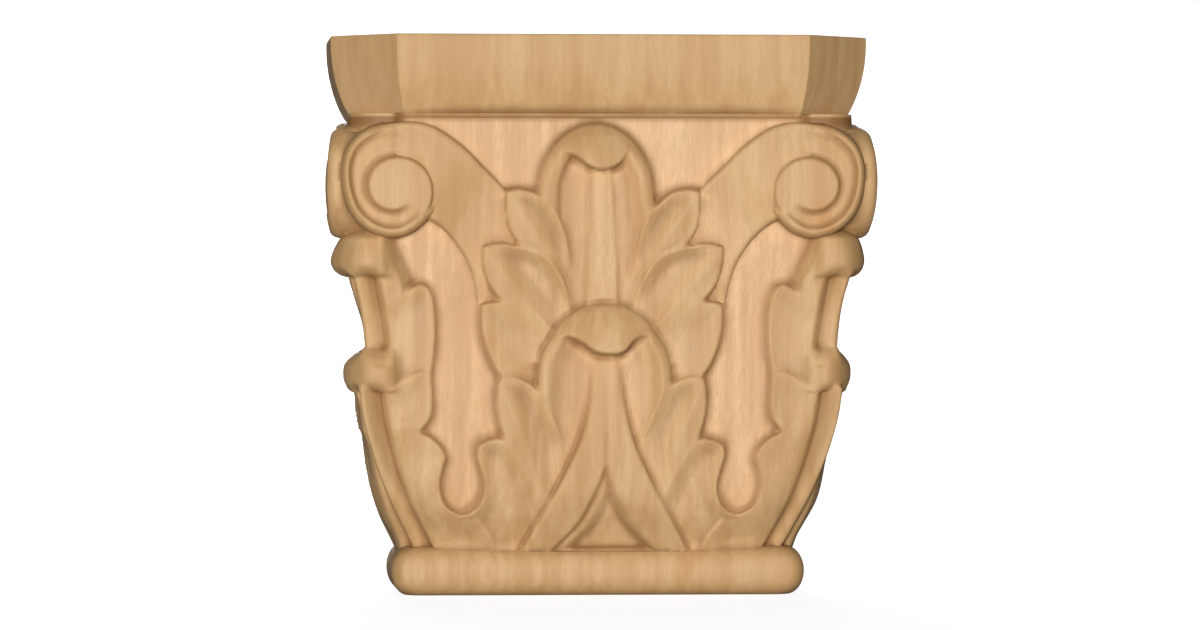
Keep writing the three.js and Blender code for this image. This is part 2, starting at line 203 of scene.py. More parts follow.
def line_offset(x: Array, level: Array, start: Point, end: Point) -> Array:
    """Measure how far each point lies to the left of the line from start to end.

    Args:
        x: Across, for each point.
        level: Height, for each point.
        start: A point of the line.
        end: A point further on.

    Returns:
        The distance for each point, a minus to the right.
    """
    run, rise = end[0] - start[0], end[1] - start[1]
    return ((level - start[1]) * run - (x - start[0]) * rise) / math.hypot(run, rise)


def grid_faces(rows: int, columns: int, closed: bool = False) -> Array:
    """List the four-sided faces of a grid whose points run along each row in turn.

    Args:
        rows: Rows of points.
        columns: Points in a row.
        closed: Whether each row joins up with its own start.

    Returns:
        Faces as an array of four point numbers, turned the way the rows then the columns run.
    """
    across = np.arange(columns if closed else columns - 1)
    row = np.arange(rows - 1)[:, None] * columns
    here, after = row + across, row + (across + 1) % columns
    return np.stack([here, after, after + columns, here + columns], axis=-1).reshape(-1, 4)


@dataclass(frozen=True)
class Shell:
    """A closed surface: points in millimetres, and faces of four corners.

    A triangle names one of its corners twice.
    """

    points: Array
    faces: Array

    def mirrored(self, place: Callable[[Array], Array]) -> "Shell":
        """Copy the shell to its mirror place, with its faces turned back out.

        Args:
            place: Function that reflects points.

        Returns:
            The reflected shell.
        """
        return Shell(place(self.points), self.faces[:, ::-1])


def closed_slab(outer: Array, inner: Array) -> Shell:
    """Close the gap between two grids of the same size: an outer skin and an inner one.

    Args:
        outer: Points of the outer skin, rows by columns by 3.
        inner: Points of the inner skin, of the same shape.

    Returns:
        The closed shell, facing out when rows cross columns points outwards.
    """
    rows, columns = outer.shape[:2]
    count = rows * columns
    number = np.arange(count).reshape(rows, columns)
    skin = grid_faces(rows, columns)
    rim = np.concatenate([number[0, :-1], number[:-1, -1], number[-1, :0:-1], number[:0:-1, 0]])
    after = np.roll(rim, -1)
    wall = np.stack([rim, rim + count, after + count, after], axis=-1)
    points = np.vstack([outer.reshape(-1, 3), inner.reshape(-1, 3)])
    return Shell(points, np.vstack([skin, skin[:, ::-1] + count, wall]))


def mesh_object(name: str, shell: Shell) -> bpy.types.Object:
    """Put a shell into a new object at the origin, in metres, with its faces pointing out.

    Args:
        name: Name of the object.
        shell: The closed surface in millimetres.

    Returns:
        The object, linked to the scene.
    """
    mesh = bpy.data.meshes.new(name)
    faces = shell.faces
    corners = shell.points[faces]
    normals = np.cross(corners[:, 2] - corners[:, 0], corners[:, 3] - corners[:, 1])
    volume = float(np.einsum("ij,ij->", corners.mean(axis=1), normals))
    if volume < 0:
        faces = faces[:, ::-1]
    mesh.from_pydata(shell.points * MM, [], [list(dict.fromkeys(face)) for face in faces.tolist()])
    obj = bpy.data.objects.new(name, mesh)
    bpy.context.scene.collection.objects.link(obj)
    return obj


@dataclass(frozen=True)
class Block:
    """The block that the capital is cut from, and the plain surfaces that carry the carving."""

    half_width: float = CAD_BOX[1][0] / MM
    front: float = CAD_BOX[0][1] / MM
    back: float = CAD_BOX[1][1] / MM
    height: float = CAD_BOX[1][2] / MM
    torus_height: float = 12.2
    torus_half_width: float = 51.9
    torus_nose: float = 4.2
    torus_corner: float = 4.0
    abacus_height: float = 20.6
    abacus_half_width: float = 67.3
    abacus_inset: float = 5.3
    abacus_fillet: float = 1.5
    abacus_cut: float = 16.2
    corner_radius: Pairs = ((11, 11.5), (24, 11.0), (36, 8.0), (48, 5.5), (120, 5.5))
    ground: Pairs = ((11, 46.6), (24, 52.5), (39, 55.5), (50, 57), (62, 57.5), (74, 58.5), (84, 60),
                     (95, 61), (120, 60.8))

    @property
    def bell_top(self) -> float:
        """Level at which the bell meets the abacus."""
        return self.height - self.abacus_height

    def corner(self, level: Array) -> Array:
        """Radius of the bell's rounded corner at each level."""
        return smooth_through(self.corner_radius)(level)

    def corner_arc(self, level: Array) -> Array:
        """Length of the rounded corner along the ground at each level."""
        return math.pi / 2 * self.corner(level)

    def half(self, level: Array) -> Array:
        """Half width of the bell's ground at each level."""
        return smooth_through(self.ground)(level)

    def front_of(self, half: Array) -> Array:
        """Y of the front of a ring: it steps back as much as its sides step in."""
        return self.front + (self.half_width - half)

    def diagonal(self, level: Array) -> Array:
        """Way round from the middle of the front to the diagonal of the corner."""
        return self.half(level) - self.corner(level) + self.corner_arc(level) / 2

    def reach(self, level: Array) -> Array:
        """Way round from the middle of the front to the flat back."""
        half, turned = self.half(level), self.corner_arc(level) - 2 * self.corner(level)
        return half + turned + self.back - self.front_of(half)

    def on_bell(self, along: Array, level: Array, rise: Array) -> Array:
        """Place points on the bell: along runs round it, rise stands out of its ground.

        The way round is the straight front, then an arc at the corner, then the straight side.

        Args:
            along: Way round from the middle of the front, minus to the left.
            level: Height of each point.
            rise: Distance out of the ground.

        Returns:
            Points in millimetres.
        """
        half = self.half(level)
        front = self.front_of(half)
        corner = self.corner(level)
        flat = half - corner
        side, run = np.sign(along), np.abs(along)
        turn = np.clip((run - flat) / corner, 0.0, math.pi / 2)
        past = np.maximum(run - flat - self.corner_arc(level), 0.0)
        radius = corner + rise
        x = np.minimum(run, flat) + radius * np.sin(turn)
        y = front + corner - radius * np.cos(turn) + past
        return np.stack([side * x, y, level * np.ones_like(x)], axis=-1)

    def round_corner(self, points: Array) -> Array:
        """Reflect points in the diagonal of the right corner, from the front to the side.

        Args:
            points: Points in millimetres.

        Returns:
            The reflected points.
        """
        x = self.half_width - (points[..., 1] - self.front)
        y = self.front + (self.half_width - points[..., 0])
        return np.stack([x, y, points[..., 2]], axis=-1)

    @staticmethod
    def to_left(points: Array) -> Array:
        """Reflect points from the right half to the left."""
        return points * np.array([-1.0, 1.0, 1.0])


class Step(Enum):
    """How the wall at a form's outline is cut: how far it starts outside, and how far in it ends."""

    CRISP = (0.45, 0.75)
    ROLLED = (0.7, 3.6)


@dataclass(frozen=True)
class Line:
    """A fine line with a round section, cut or raised: its depth, half width and way off an edge."""

    depth: float
    half: float
    shift: float = 0.0

    def at(self, offset: Array) -> Array:
        """Depth at each offset from the edge: depth * exp(-((offset + shift) / half)^2)."""
        return self.depth * np.exp(-(((offset + self.shift) / self.half) ** 2))


@dataclass(frozen=True)
class Form:
    """One form of the relief, drawn on the right of the front: x across and level up.

    The strokes are smooth lines joined end to end. Inside them the surface stands at rise and is
    scooped by hollow over the run in from the outline. A form with a ridge is scooped only on the
    left of that line, and falls by its bevel on the right. The form fades out round its root.
    """

    name: str
    strokes: tuple[Pairs, ...]
    rise: float
    hollow: float = 0.0
    run: float = 5.0
    step: Step = Step.CRISP
    wall_power: float = 1.25
    scoop_start: float = -0.6
    scoop_reach: float = 1.12
    root: Point | None = None
    fade: Point = (4.0, 12.0)
    root_drop: float = 0.0
    drop_reach: float = 1.8
    ridge: tuple[Point, Point] | None = None
    ridge_run: Point = (-0.8, 4.4)
    bevel: float = 0.9
    bevel_run: float = 4.0

    def outline(self) -> Array:
        """Return the closed outline as an array of points."""
        return np.vstack([smooth_stroke(stroke)[:-1] for stroke in self.strokes])

    def lay_over(self, x: Array, level: Array, height: Array) -> Array:
        """Carve the form over the relief that is there.

        The new height is rise - hollow * ease(distance in / run) - drop towards the root, and it
        takes over from the old one across the wall at the outline.

        Args:
            x: Across, for each point of the grid.
            level: Height up the bell, for each point.
            height: Relief so far.

        Returns:
            The relief with the form in it.
        """
        log.info("carving %s", self.name)
        inside = signed_distance(x, level, self.outline())
        foot, top = self.step.value
        cover = ease(inside, -foot, top) ** self.wall_power
        scoop = self.hollow * ease(inside, self.scoop_start, self.run * self.scoop_reach)
        if self.ridge is not None:
            off = line_offset(x, level, *self.ridge)
            scoop = scoop * ease(off, *self.ridge_run) + self.bevel * ease(off, 0.0, -self.bevel_run)
        surface = self.rise - scoop
        if self.root is not None:
            away = np.hypot(x - self.root[0], level - self.root[1])
            cover = cover * ease(away, *self.fade)
            drop = self.root_drop * (1 - ease(away, self.fade[0], self.fade[1] * self.drop_reach))
            surface = surface - drop
        return mix(height, surface, cover)


UPPER_LOBES = (
    Form("lobe_a", (
        ((24.7, 101.2), (21.5, 102.0), (17.2, 101.1), (14.5, 99.1), (11.6, 96.0), (9.4, 91.5), (7.6, 84),
         (6.6, 76)),
        ((6.6, 76), (9, 72), (14, 76), (20.2, 86.5)),
        ((20.2, 86.5), (22.5, 89.2), (24.0, 92.4), (24.6, 96.5), (24.7, 101.2)),
    ), rise=4.1, hollow=1.9, run=3.4, root=(7.5, 76), fade=(2.0, 11.0), root_drop=1.1,
        ridge=((12.6, 85.3), (22.6, 99.8)), bevel=0.5),
    Form("lobe_b", (
        ((30.5, 87.6), (27, 88.4), (23, 88.2), (19.6, 87.4), (15.5, 86.0), (11.8, 83.0), (8.6, 77),
         (7.2, 70)),
        ((7.2, 70), (9, 62), (18, 64), (25.6, 73.6)),
        ((25.6, 73.6), (28.2, 76.8), (29.6, 80), (30.3, 83.4), (30.5, 87.6)),
    ), rise=4.3, hollow=2.0, run=3.8, root=(6, 66), fade=(2.0, 11.0), root_drop=1.1,
        ridge=((15.0, 69.0), (28.6, 86.4)), bevel=0.4),
    Form("lobe_c", (
        ((30.4, 73.3), (27, 74.0), (22.7, 73.7), (18, 72), (13.5, 68.5), (10, 63), (8, 57)),
        ((8, 57), (12, 48), (20, 49), (25, 54.2)),
        ((25, 54.2), (27.2, 57.2), (29.1, 61.4), (30.2, 65.4), (30.6, 69.4), (30.4, 73.3)),
    ), rise=4.0, hollow=1.0, run=6.5, root=(6, 55), fade=(5.0, 16.0), root_drop=0.6),
)

LOWER_LOBES = (
    Form("lobe_d", (
        ((25.9, 54.9), (23.6, 55.1), (20.8, 54.7), (17.4, 53.2), (14.4, 49.4), (12.2, 45.6), (10.2, 41),
         (9.2, 36.5), (8, 30)),
        ((8, 30), (8, 10), (22, 10), (24.9, 39.8)),
        ((24.9, 39.8), (26.0, 43.8), (26.6, 47.8), (26.5, 51.6), (25.9, 54.9)),
    ), rise=4.2, hollow=1.9, run=4.4, root=(8.6, 33), fade=(2.0, 11.0), root_drop=0.8,
        ridge=((16.0, 32.0), (24.4, 52.0)), bevel=0.4),
)

SKIRT = Form("skirt", (
    ((14, 9), (13.4, 15), (14.2, 20.4), (15.8, 25.6), (18.0, 30.4), (21.4, 35.6), (25.2, 40.0)),
    ((25.2, 40.0), (28.3, 39.4), (30.9, 38.1)),
    ((30.9, 38.1), (31.4, 35.4), (30.5, 32), (29.6, 28.4), (29.9, 25), (31.6, 22.1), (34.6, 20.7),
     (37.7, 22), (40.5, 24.2)),
    ((40.5, 24.2), (48, 20), (48, 9)),
), rise=3.7, hollow=1.4, run=4.2)

BARE_SKIRT = Form("bare_skirt", (
    ((13, 9), (13, 37)),
    ((13, 37), (20, 39.8), (25.2, 40.0)),
) + SKIRT.strokes[1:], rise=3.4, hollow=1.0)

CORNER_BLADES = (
    Form("upper_blade", (
        ((64, 93), (52.2, 92.5)),
        ((52.2, 92.5), (51.4, 89.2), (49.6, 84.8), (48.0, 81.4), (47.0, 78.6), (46, 72), (45.5, 62)),
        ((45.5, 62), (47, 50), (64, 50)),
    ), rise=3.3, step=Step.ROLLED),
    Form("lobe_f", (
        ((50.4, 74.8), (47.8, 77.2), (45.4, 78.3), (43.2, 77.4), (41.9, 74.7), (41.3, 71), (41.1, 67),
         (41.3, 62), (42, 56.5), (43, 50)),
        ((43, 50), (64, 48), (64, 66), (50.4, 74.8)),
    ), rise=3.3, hollow=0.75, run=4.5),
    Form("lobe_g", (
        ((51.3, 52.6), (49, 54.9), (46.2, 56.3), (43.8, 56.4), (42.4, 55), (41.9, 52), (41.8, 48),
         (42.4, 44.4), (44.6, 41.3)),
        ((44.6, 41.3), (46, 34), (64, 30), (64, 44), (51.3, 52.6)),
    ), rise=3.5, hollow=0.75, run=4.2),
    Form("lobe_h", (
        ((44.9, 41.1), (42.7, 40.3), (40.6, 38.6), (39.0, 36.7), (38.3, 34.6), (39.1, 32), (39.8, 28.6),
         (39.4, 25.2), (37.7, 22), (34.6, 20.4), (30, 19)),
        ((30, 19), (28, 10), (64, 10), (64, 34), (50, 43), (44.9, 41.1)),
    ), rise=3.0, hollow=0.7, run=6.0),
)


@dataclass(frozen=True)
class Hood:
    """The curled tip of a central leaf, an upright half oval with a drooping lip, and its face."""

    half: float
    top: float
    spring: float
    lip: Pairs
    lean: float
    crown: float
    face_line: Point
    flare: Pairs
    oval_points: int = 48
    lean_run: float = 14.0
    wall: Point = (-0.5, 0.6)
    edge_rise: float = 0.9
    dome_run: float = 10.5
    dome_round: float = 0.5
    side_rise: float = 3.8
    side_width: float = 5.4
    side_roll: float = 2.6
    side_fall: float = 0.7
    side_fall_start: float = 2.4
    side_end: Point = (3.0, 15.0)
    face_rise: float = 1.9
    face_dip: float = 0.7
    dip_start: Point = (2.6, 6.0)
    dip_end: Point = (11.0, 6.4)
    sharp_line: float = 1.0
    line: Line = Line(0.35, 0.45, -0.3)
    line_start: Point = (12.0, 2.0)
    lip_half: float = 0.35
    lip_end: Point = (-1.4, 1.6)
    lip_fade: Point = (7.0, 2.5)
    undercut: Line = Line(0.55, 0.9, 0.8)

    def outline(self) -> Array:
        """Draw the oval from the left foot over the top to the right foot, and the flare below.

        Returns:
            The closed outline as an array of points.
        """
        turn = np.linspace(math.pi, 0.0, self.oval_points)
        up = self.spring + (self.top - self.spring) * np.sin(turn)
        right = np.array(self.flare, float)
        return np.vstack([np.stack([self.half * np.cos(turn), up], axis=-1), right, right[::-1] * [-1, 1]])

    def dome(self, near: Array) -> Array:
        """Work out the hood: it climbs from its edge, part quarter round and part straight slope.

        Args:
            near: Distance in from the outline.

        Returns:
            Height out of the ground.
        """
        ramp = np.clip(near / self.dome_run, 0.0, 1.0)
        swell = self.dome_round * quarter_round(ramp) + (1 - self.dome_round) * ramp
        return self.edge_rise + (self.crown - self.edge_rise) * swell

    def leaf(self, near: Array, leaning: Array, level: Array) -> Array:
        """Work out the leaf below the lip: rolled sides round a face that dips beside the midrib.

        Each side climbs from the outline as a quarter round and falls a little towards the face.
        The face takes over past the side's width, and is all that is left far below the hood. Where
        the change is sharp, a fine line is cut along it.

        Args:
            near: Distance in from the outline.
            leaning: Across, with the hood's lean taken out.
            level: Height up the bell.

        Returns:
            Height out of the ground.
        """
        roll = quarter_round(near / self.side_roll)
        side = self.edge_rise + (self.side_rise - self.edge_rise) * roll
        side = side - self.side_fall * ease(near, self.side_fall_start, self.side_width)
        reach = np.abs(leaning)
        face = self.face_rise - self.face_dip * ease(reach, *self.dip_start) * ease(reach, *self.dip_end)
        softness = np.where(leaning < 0, *self.face_line)
        inner = ease(near - self.side_width, -softness, softness)
        gone = ease(level, self.spring - self.side_end[0], self.spring - self.side_end[1])
        line = self.line.at(near - self.side_width)
        line = line * ease(level, self.spring - self.line_start[0], self.spring - self.line_start[1])
        return mix(side, face, np.maximum(inner, gone)) - line * (softness < self.sharp_line)

    def lay_over(self, x: Array, level: Array, height: Array) -> Array:
        """Carve the leaf and, above its lip, the hood, with an undercut below the lip.

        Past both ends of the lip the hood and the leaf's sides run into each other softly.

        Args:
            x: Across, for each point of the grid.
            level: Height up the bell, for each point.
            height: Relief so far.

        Returns:
            The relief with the leaf in it.
        """
        leaning = x - self.lean * ease(level, self.spring - self.lean_run, self.spring)
        inside = signed_distance(leaning, level, self.outline())
        near = np.clip(inside, 0.0, None)
        (first, end_level), (last, _) = self.lip[0], self.lip[-1]
        lip = smooth_through(self.lip)(x)
        over = ease(level - lip, -self.lip_half, self.lip_half)
        beside = ease(np.maximum(first - x, x - last), *self.lip_end)
        soft = ease(level, end_level - self.lip_fade[0], end_level + self.lip_fade[1])
        surface = mix(self.leaf(near, leaning, level), self.dome(near), mix(over, soft, beside))
        surface = surface - self.undercut.at(level - lip) * (1 - beside)
        return mix(height, surface, ease(inside, *self.wall))


UPPER_HOOD = Hood(
    half=14.7, top=118.2, spring=100.0, lean=-1.7, crown=7.5, face_line=(0.7, 2.4), dome_run=11.5,
    flare=((15.2, 94), (18, 86), (20, 78), (20, 58)),
    lip=((-10.1, 110.9), (-7.9, 110.2), (-5.7, 108.8), (-3.6, 107.2), (-0.7, 106.3), (2.4, 106.9),
         (4.6, 108.4), (6.2, 110.8)))
LOWER_HOOD = Hood(
    half=17.2, top=73.8, spring=53.5, lean=0.7, crown=8.3, face_line=(2.2, 2.6), dome_run=12.0,
    side_rise=4.4, flare=((17.4, 47), (18, 40), (19, 10)),
    lip=((-10.4, 65.1), (-7.4, 64.6), (-4.6, 62.9), (-2.1, 61.1), (1.8, 60.3), (5.5, 61.1),
         (7.4, 63.2), (9.4, 64.7), (12.4, 65.1)))


@dataclass(frozen=True)
class Midrib:
    """The flat midrib of the upper leaf, between two fine lines."""

    half: Pairs = ((60, 4.9), (90, 3.6), (108, 2.9))
    rise: float = 2.35
    crown: float = 0.25
    crown_run: float = 2.5
    lean: float = 0.5
    lean_levels: Point = (80.0, 110.0)
    top: Point = (106.8, 105.2)
    wall: float = 0.4
    line: Line = Line(0.5, 0.45)

    def lay_over(self, along: Array, level: Array, height: Array) -> Array:
        """Carve the midrib: a band of set half width, a little higher towards its middle.

        Args:
            along: Way round from the middle of the front.
            level: Height up the bell.
            height: Relief so far.

        Returns:
            The relief with the midrib in it.
        """
        middle = along + self.lean * ease(level, *self.lean_levels)
        edge = smooth_through(self.half)(level) - np.abs(middle)
        span = ease(level, *self.top)
        rib = self.rise + self.crown * ease(edge, 0.0, self.crown_run)
        return mix(height, rib, ease(edge, -self.wall, self.wall) * span) - self.line.at(edge) * span


@dataclass(frozen=True)
class Fork:
    """The lower midrib, which forks into two legs round a sunk point."""

    outer: Pairs = ((11, 21.4), (13, 20.2), (21.9, 15.2), (31, 10.4), (39.8, 6.6), (48.3, 4.6),
                    (56, 3.6), (62, 3.2))
    inner: Pairs = ((11, 13.6), (12.1, 12.6), (18, 7.1), (25.8, 3.0), (32.8, 0.1), (36, -2))
    shift: float = 1.4
    shift_levels: Point = (64.0, 52.0)
    rise: float = 4.3
    fall: float = 1.7
    fall_levels: Point = (36.0, 59.0)
    crown: float = 0.45
    crown_run: float = 1.6
    sunk: float = 1.4
    right_slope: Point = (-0.2, 3.0)
    ledge: float = 2.95
    ledge_wall: Point = (-0.2, 0.6)
    ledge_slope: Point = (2.2, 5.4)
    wall: float = 0.4
    top: Point = (60.4, 57.8)
    side_cut: Line = Line(0.5, 0.5, 0.35)
    side_cut_levels: Point = (61.0, 48.0)
    inside_cut: Line = Line(0.2, 0.4, 0.1)
    inside_cut_levels: Point = (34.0, 31.0)
    fold: Line = Line(0.3, 0.45)
    fold_start: Point = (31.0, 34.0)
    fold_end: Point = (44.0, 37.0)

    def lay_over(self, along: Array, level: Array, height: Array) -> Array:
        """Carve the legs between their outer and inner lines, and the slopes down to the point.

        The legs fall away up the leaf. On the right the slope runs straight down to the sunk point,
        and on the left it stops at a ledge first. A fine fold runs up from where the legs part.

        Args:
            along: Way round from the middle of the front.
            level: Height up the bell.
            height: Relief so far.

        Returns:
            The relief with the fork in it.
        """
        x = along - self.shift * ease(level, *self.shift_levels)
        run = np.abs(x)
        edge = smooth_through(self.outer)(level) - run
        depth = smooth_through(self.inner)(level) - run
        rise = self.rise - self.fall * ease(level, *self.fall_levels)
        leg = rise + self.crown * ease(edge, 0.0, self.crown_run) - self.crown
        ledge = mix(leg, self.ledge, ease(depth, *self.ledge_wall))
        left = mix(ledge, self.sunk, ease(depth, *self.ledge_slope))
        right = mix(leg, self.sunk, ease(depth, *self.right_slope))
        surface = np.where(x < 0, left, right)
        top = ease(level, *self.top)
        side_cut = self.side_cut.at(edge) * ease(level, *self.side_cut_levels)
        inside_cut = self.inside_cut.at(depth) * ease(level, *self.inside_cut_levels)
        fold = self.fold.at(x) * ease(level, *self.fold_start) * ease(level, *self.fold_end)
        body = mix(height, surface, ease(edge, -self.wall, self.wall) * top)
        return body - side_cut * top - fold - inside_cut


@dataclass(frozen=True)
class CornerLeaf:
    """A leaf bent round the corner: its rib, the groove on either side of it, and its curled tip."""

    crest: Pairs
    groove: Pairs
    nose: float
    tip_rise: float
    tip_under: float
    tip_above: float
    tip_fullness: float
    tip_reach: float
    groove_floor: float = 1.4
    least_depth: float = 2.7
    crest_half: float = 0.25
    bank: Point = (0.3, 2.1)
    foot_run: float = 1.0
    head_run: Point = (0.4, 1.6)
    tip_round: float = 2.2
    front_fade: float = 0.4
    side_fade: Point = (1.5, 2.5)
    hand: float = 0.5

    def cut_rib(self, away: Array, level: Array, height: Array) -> Array:
        """Cut the rib and its grooves: a straight flank from the crest down to the groove's floor.

        From the floor a bank climbs back to the blade of the leaf.

        Args:
            away: Distance from the corner's diagonal, either way.
            level: Height up the bell.
            height: Relief so far.

        Returns:
            The relief with the rib in it.
        """
        low, high = self.crest[0][0], self.crest[-1][0]
        rib, bottom = smooth_through(self.crest)(level), smooth_through(self.groove)(level)
        floor = np.minimum(rib - self.least_depth, self.groove_floor)
        flank = np.clip((away - self.crest_half) / (bottom - self.crest_half), 0.0, 1.0)
        bank = ease(away, bottom + self.bank[0], bottom + self.bank[1])
        surface = mix(mix(rib, floor, flank), height, bank)
        head = ease(level, high + self.head_run[0], high - self.head_run[1])
        return mix(height, surface, ease(level, low, low + self.foot_run) * head)

    def curl_tip(self, offset: Array, side: Array, level: Array, height: Array) -> Array:
        """Roll the tip outwards, and let it fall away to both sides.

        Up the leaf the roll is a quarter oval below its nose and a rounded slope above it. On the
        front it falls away from the corner on, and on the side further back. A tip on the left
        stands out a little more than one on the right.

        Args:
            offset: Way past the corner's diagonal, a minus on the front.
            side: 1 on the right half, -1 on the left.
            level: Height up the bell.
            height: Relief so far.

        Returns:
            The relief with the tip in it.
        """
        drop = np.clip((self.nose - level) / self.tip_under, 0.0, 1.0)
        below = np.sqrt(1 - drop**self.tip_round)
        over = 1 - np.clip((level - self.nose) / self.tip_above, 0.0, 1.0) ** self.tip_fullness
        on_front = ease(offset, -self.tip_reach, -self.front_fade)
        on_side = ease(offset, self.tip_reach + self.side_fade[0], self.tip_reach - self.side_fade[1])
        roll = np.where(level < self.nose, below, over) * np.where(offset < 0, on_front, on_side)
        raised = mix(height, self.tip_rise - self.hand * side, roll)
        return np.where(roll > 0, np.maximum(height, raised), height)


@dataclass(frozen=True)
class Wave:
    """One slow wave left by hand tools: its length, direction, start and height."""

    length: float
    turn: float
    phase: float
    size: float

    def at(self, along: Array, level: Array) -> Array:
        """Height of the wave: a sine across its direction."""
        way = along * math.cos(self.turn) + level * math.sin(self.turn)
        return self.size * np.sin(2 * math.pi / self.length * way + self.phase)


@dataclass(frozen=True)
class BellRelief:
    """The carved surface of the bell, as height out of its ground."""

    block: Block
    midrib: Midrib = Midrib()
    fork: Fork = Fork()
    corner_leaves: tuple[CornerLeaf, ...] = (
        CornerLeaf(crest=((10, 3.3), (22.7, 4.0), (35, 5.8), (53.5, 6.6)),
                   groove=((10, 2.4), (22.7, 2.1), (35, 1.25), (53.5, 0.85)),
                   nose=55.6, tip_rise=6.4, tip_under=4.6, tip_above=6.8, tip_fullness=2.4, tip_reach=7.0),
        CornerLeaf(crest=((57, 3.9), (67.6, 4.0), (76.8, 5.1), (82.8, 5.7)),
                   groove=((57, 2.2), (67.6, 2.0), (76.8, 1.5), (82.8, 1.4)),
                   nose=83.6, tip_rise=6.9, tip_under=3.9, tip_above=7.5, tip_fullness=1.4, tip_reach=7.6),
    )
    bare_share: float = 0.35
    side_share: float = 0.3
    side_gains: tuple[tuple[float, Point], ...] = ((0.7, (64.0, 80.0)), (0.95, (60.0, 56.0)))
    neck_rise: float = 2.3
    neck_levels: Point = (113.5, 117.0)
    neck_reach: Point = (10.5, 7.0)
    waves: tuple[Wave, ...] = (Wave(9.0, 0.3, 0.4, 0.035), Wave(13.0, 1.3, 2.1, 0.04),
                               Wave(6.1, 2.2, 4.0, 0.02), Wave(21.0, 0.9, 1.2, 0.06))
    foot_overlap: float = 1.2
    top_overlap: float = 1.0
    rows: int = 218
    front_columns: int = 104
    arc_columns: int = 36
    side_columns: int = 40
    side_spacing: float = 0.62

    def front(self, along: Array, level: Array) -> Array:
        """Lay the forms of the front over each other, from the back one forwards.

        Args:
            along: Way round from the middle of the front.
            level: Height up the bell.

        Returns:
            Height out of the ground.
        """
        run = np.abs(along)
        height = UPPER_HOOD.lay_over(along, level, np.zeros_like(run))
        for form in UPPER_LOBES:
            height = form.lay_over(run, level, height)
        height = self.midrib.lay_over(along, level, height)
        height = LOWER_HOOD.lay_over(along, level, height)
        for form in LOWER_LOBES + (SKIRT,):
            height = form.lay_over(run, level, height)
        return self.fork.lay_over(along, level, height)

    def height(self, along: Array, level: Array) -> Array:
        """Work out the relief at each point of the unrolled bell.

        Past the corner's diagonal the side repeats the corner leaves of the front in lower relief,
        over a bare skirt. A neck swells under the volutes, and slow tool waves lie over it all.

        Args:
            along: Way round from the middle of the front.
            level: Height up the bell.

        Returns:
            Height out of the ground.
        """
        run = np.abs(along)
        diagonal = self.block.diagonal(level)
        folded = np.where(run > diagonal, 2 * diagonal - run, run)
        on_front = run < diagonal
        bare = self.bare_share * BARE_SKIRT.lay_over(folded, level, np.zeros_like(run))
        height = np.where(on_front, self.front(along, level), bare)
        for form in CORNER_BLADES:
            height = form.lay_over(folded, level, height)
        side_share = self.side_share
        for gain, levels in self.side_gains:
            side_share = side_share + gain * ease(level, *levels)
        height = np.where(on_front, height, height * side_share)
        offset = run - diagonal
        for leaf in self.corner_leaves:
            height = leaf.cut_rib(np.abs(offset), level, height)
        for leaf in self.corner_leaves:
            height = leaf.curl_tip(offset, np.sign(along), level, height)
        neck = self.neck_rise * ease(level, *self.neck_levels) * ease(diagonal - folded, *self.neck_reach)
        return height + neck + sum(wave.at(along, level) for wave in self.waves)

    def build(self) -> Shell:
        """Lay the relief on a fine grid round the bell and close it at the back, top and foot.

        Columns are even on the front and on the corner's arc and widen on the plain part of the
        side.

        Returns:
            The closed bell.
        """
        foot, top = self.block.torus_height - self.foot_overlap, self.block.bell_top + self.top_overlap
        levels = np.linspace(foot, top, self.rows)[:, None]
        flat = self.block.half(levels) - self.block.corner(levels)
        arc = self.block.corner_arc(levels)
        end = self.block.reach(levels)
        front_share = np.linspace(0.0, 1.0, self.front_columns)[None, :]
        arc_share = np.linspace(0.0, 1.0, self.arc_columns)[None, 1:]
        side_share = np.linspace(0.0, 1.0, self.side_columns)[None, 1:]
        side_share = side_share * (self.side_spacing + (1 - self.side_spacing) * side_share)
        right = np.hstack([
            flat * front_share,
            flat + arc * arc_share,
            flat + arc + (end - flat - arc) * side_share,
        ])
        along = np.hstack([-right[:, :0:-1], right])
        level = levels * np.ones_like(along)
        outer = self.block.on_bell(along, level, self.height(along, level))
        outer[:, 0, 1] = outer[:, -1, 1] = self.block.back
        return bell_shell(outer)


def bell_shell(outer: Array) -> Shell:
    """Close a bell's skin with a flat back, one strip down the middle of it, and flat ends.

    Each row's two ends already lie in the plane of the back. The ends at the top and at the foot
    are fans of strips that join each column on the left to its twin on the right.

    Args:
        outer: The skin, rows by columns by 3, with an odd number of columns.

    Returns:
        The closed shell.
    """
    rows, columns = outer.shape[:2]
    skin = grid_faces(rows, columns)
    number = np.arange(rows * columns).reshape(rows, columns)
    back = np.stack([number[:-1, -1], number[:-1, 0], number[1:, 0], number[1:, -1]], axis=-1)
    half = columns // 2
    left, right = np.arange(half), columns - 1 - np.arange(half)
    cap = np.stack([left[:-1], right[:-1], right[1:], left[1:]], axis=-1)
    foot = number[0][cap]
    top = number[-1][cap][:, ::-1]
    points = outer.reshape(-1, 3)
    foot_tip = number[0, [half - 1, half + 1, half, half]]
    top_tip = number[-1, [half + 1, half - 1, half, half]]
    return Shell(points, np.vstack([skin, back, foot, top, foot_tip, top_tip]))


@dataclass(frozen=True)
class Ring:
    """One level of a moulding: its half width and the setbacks of its corner points."""

    level: float
    half: float
    corner: Pairs


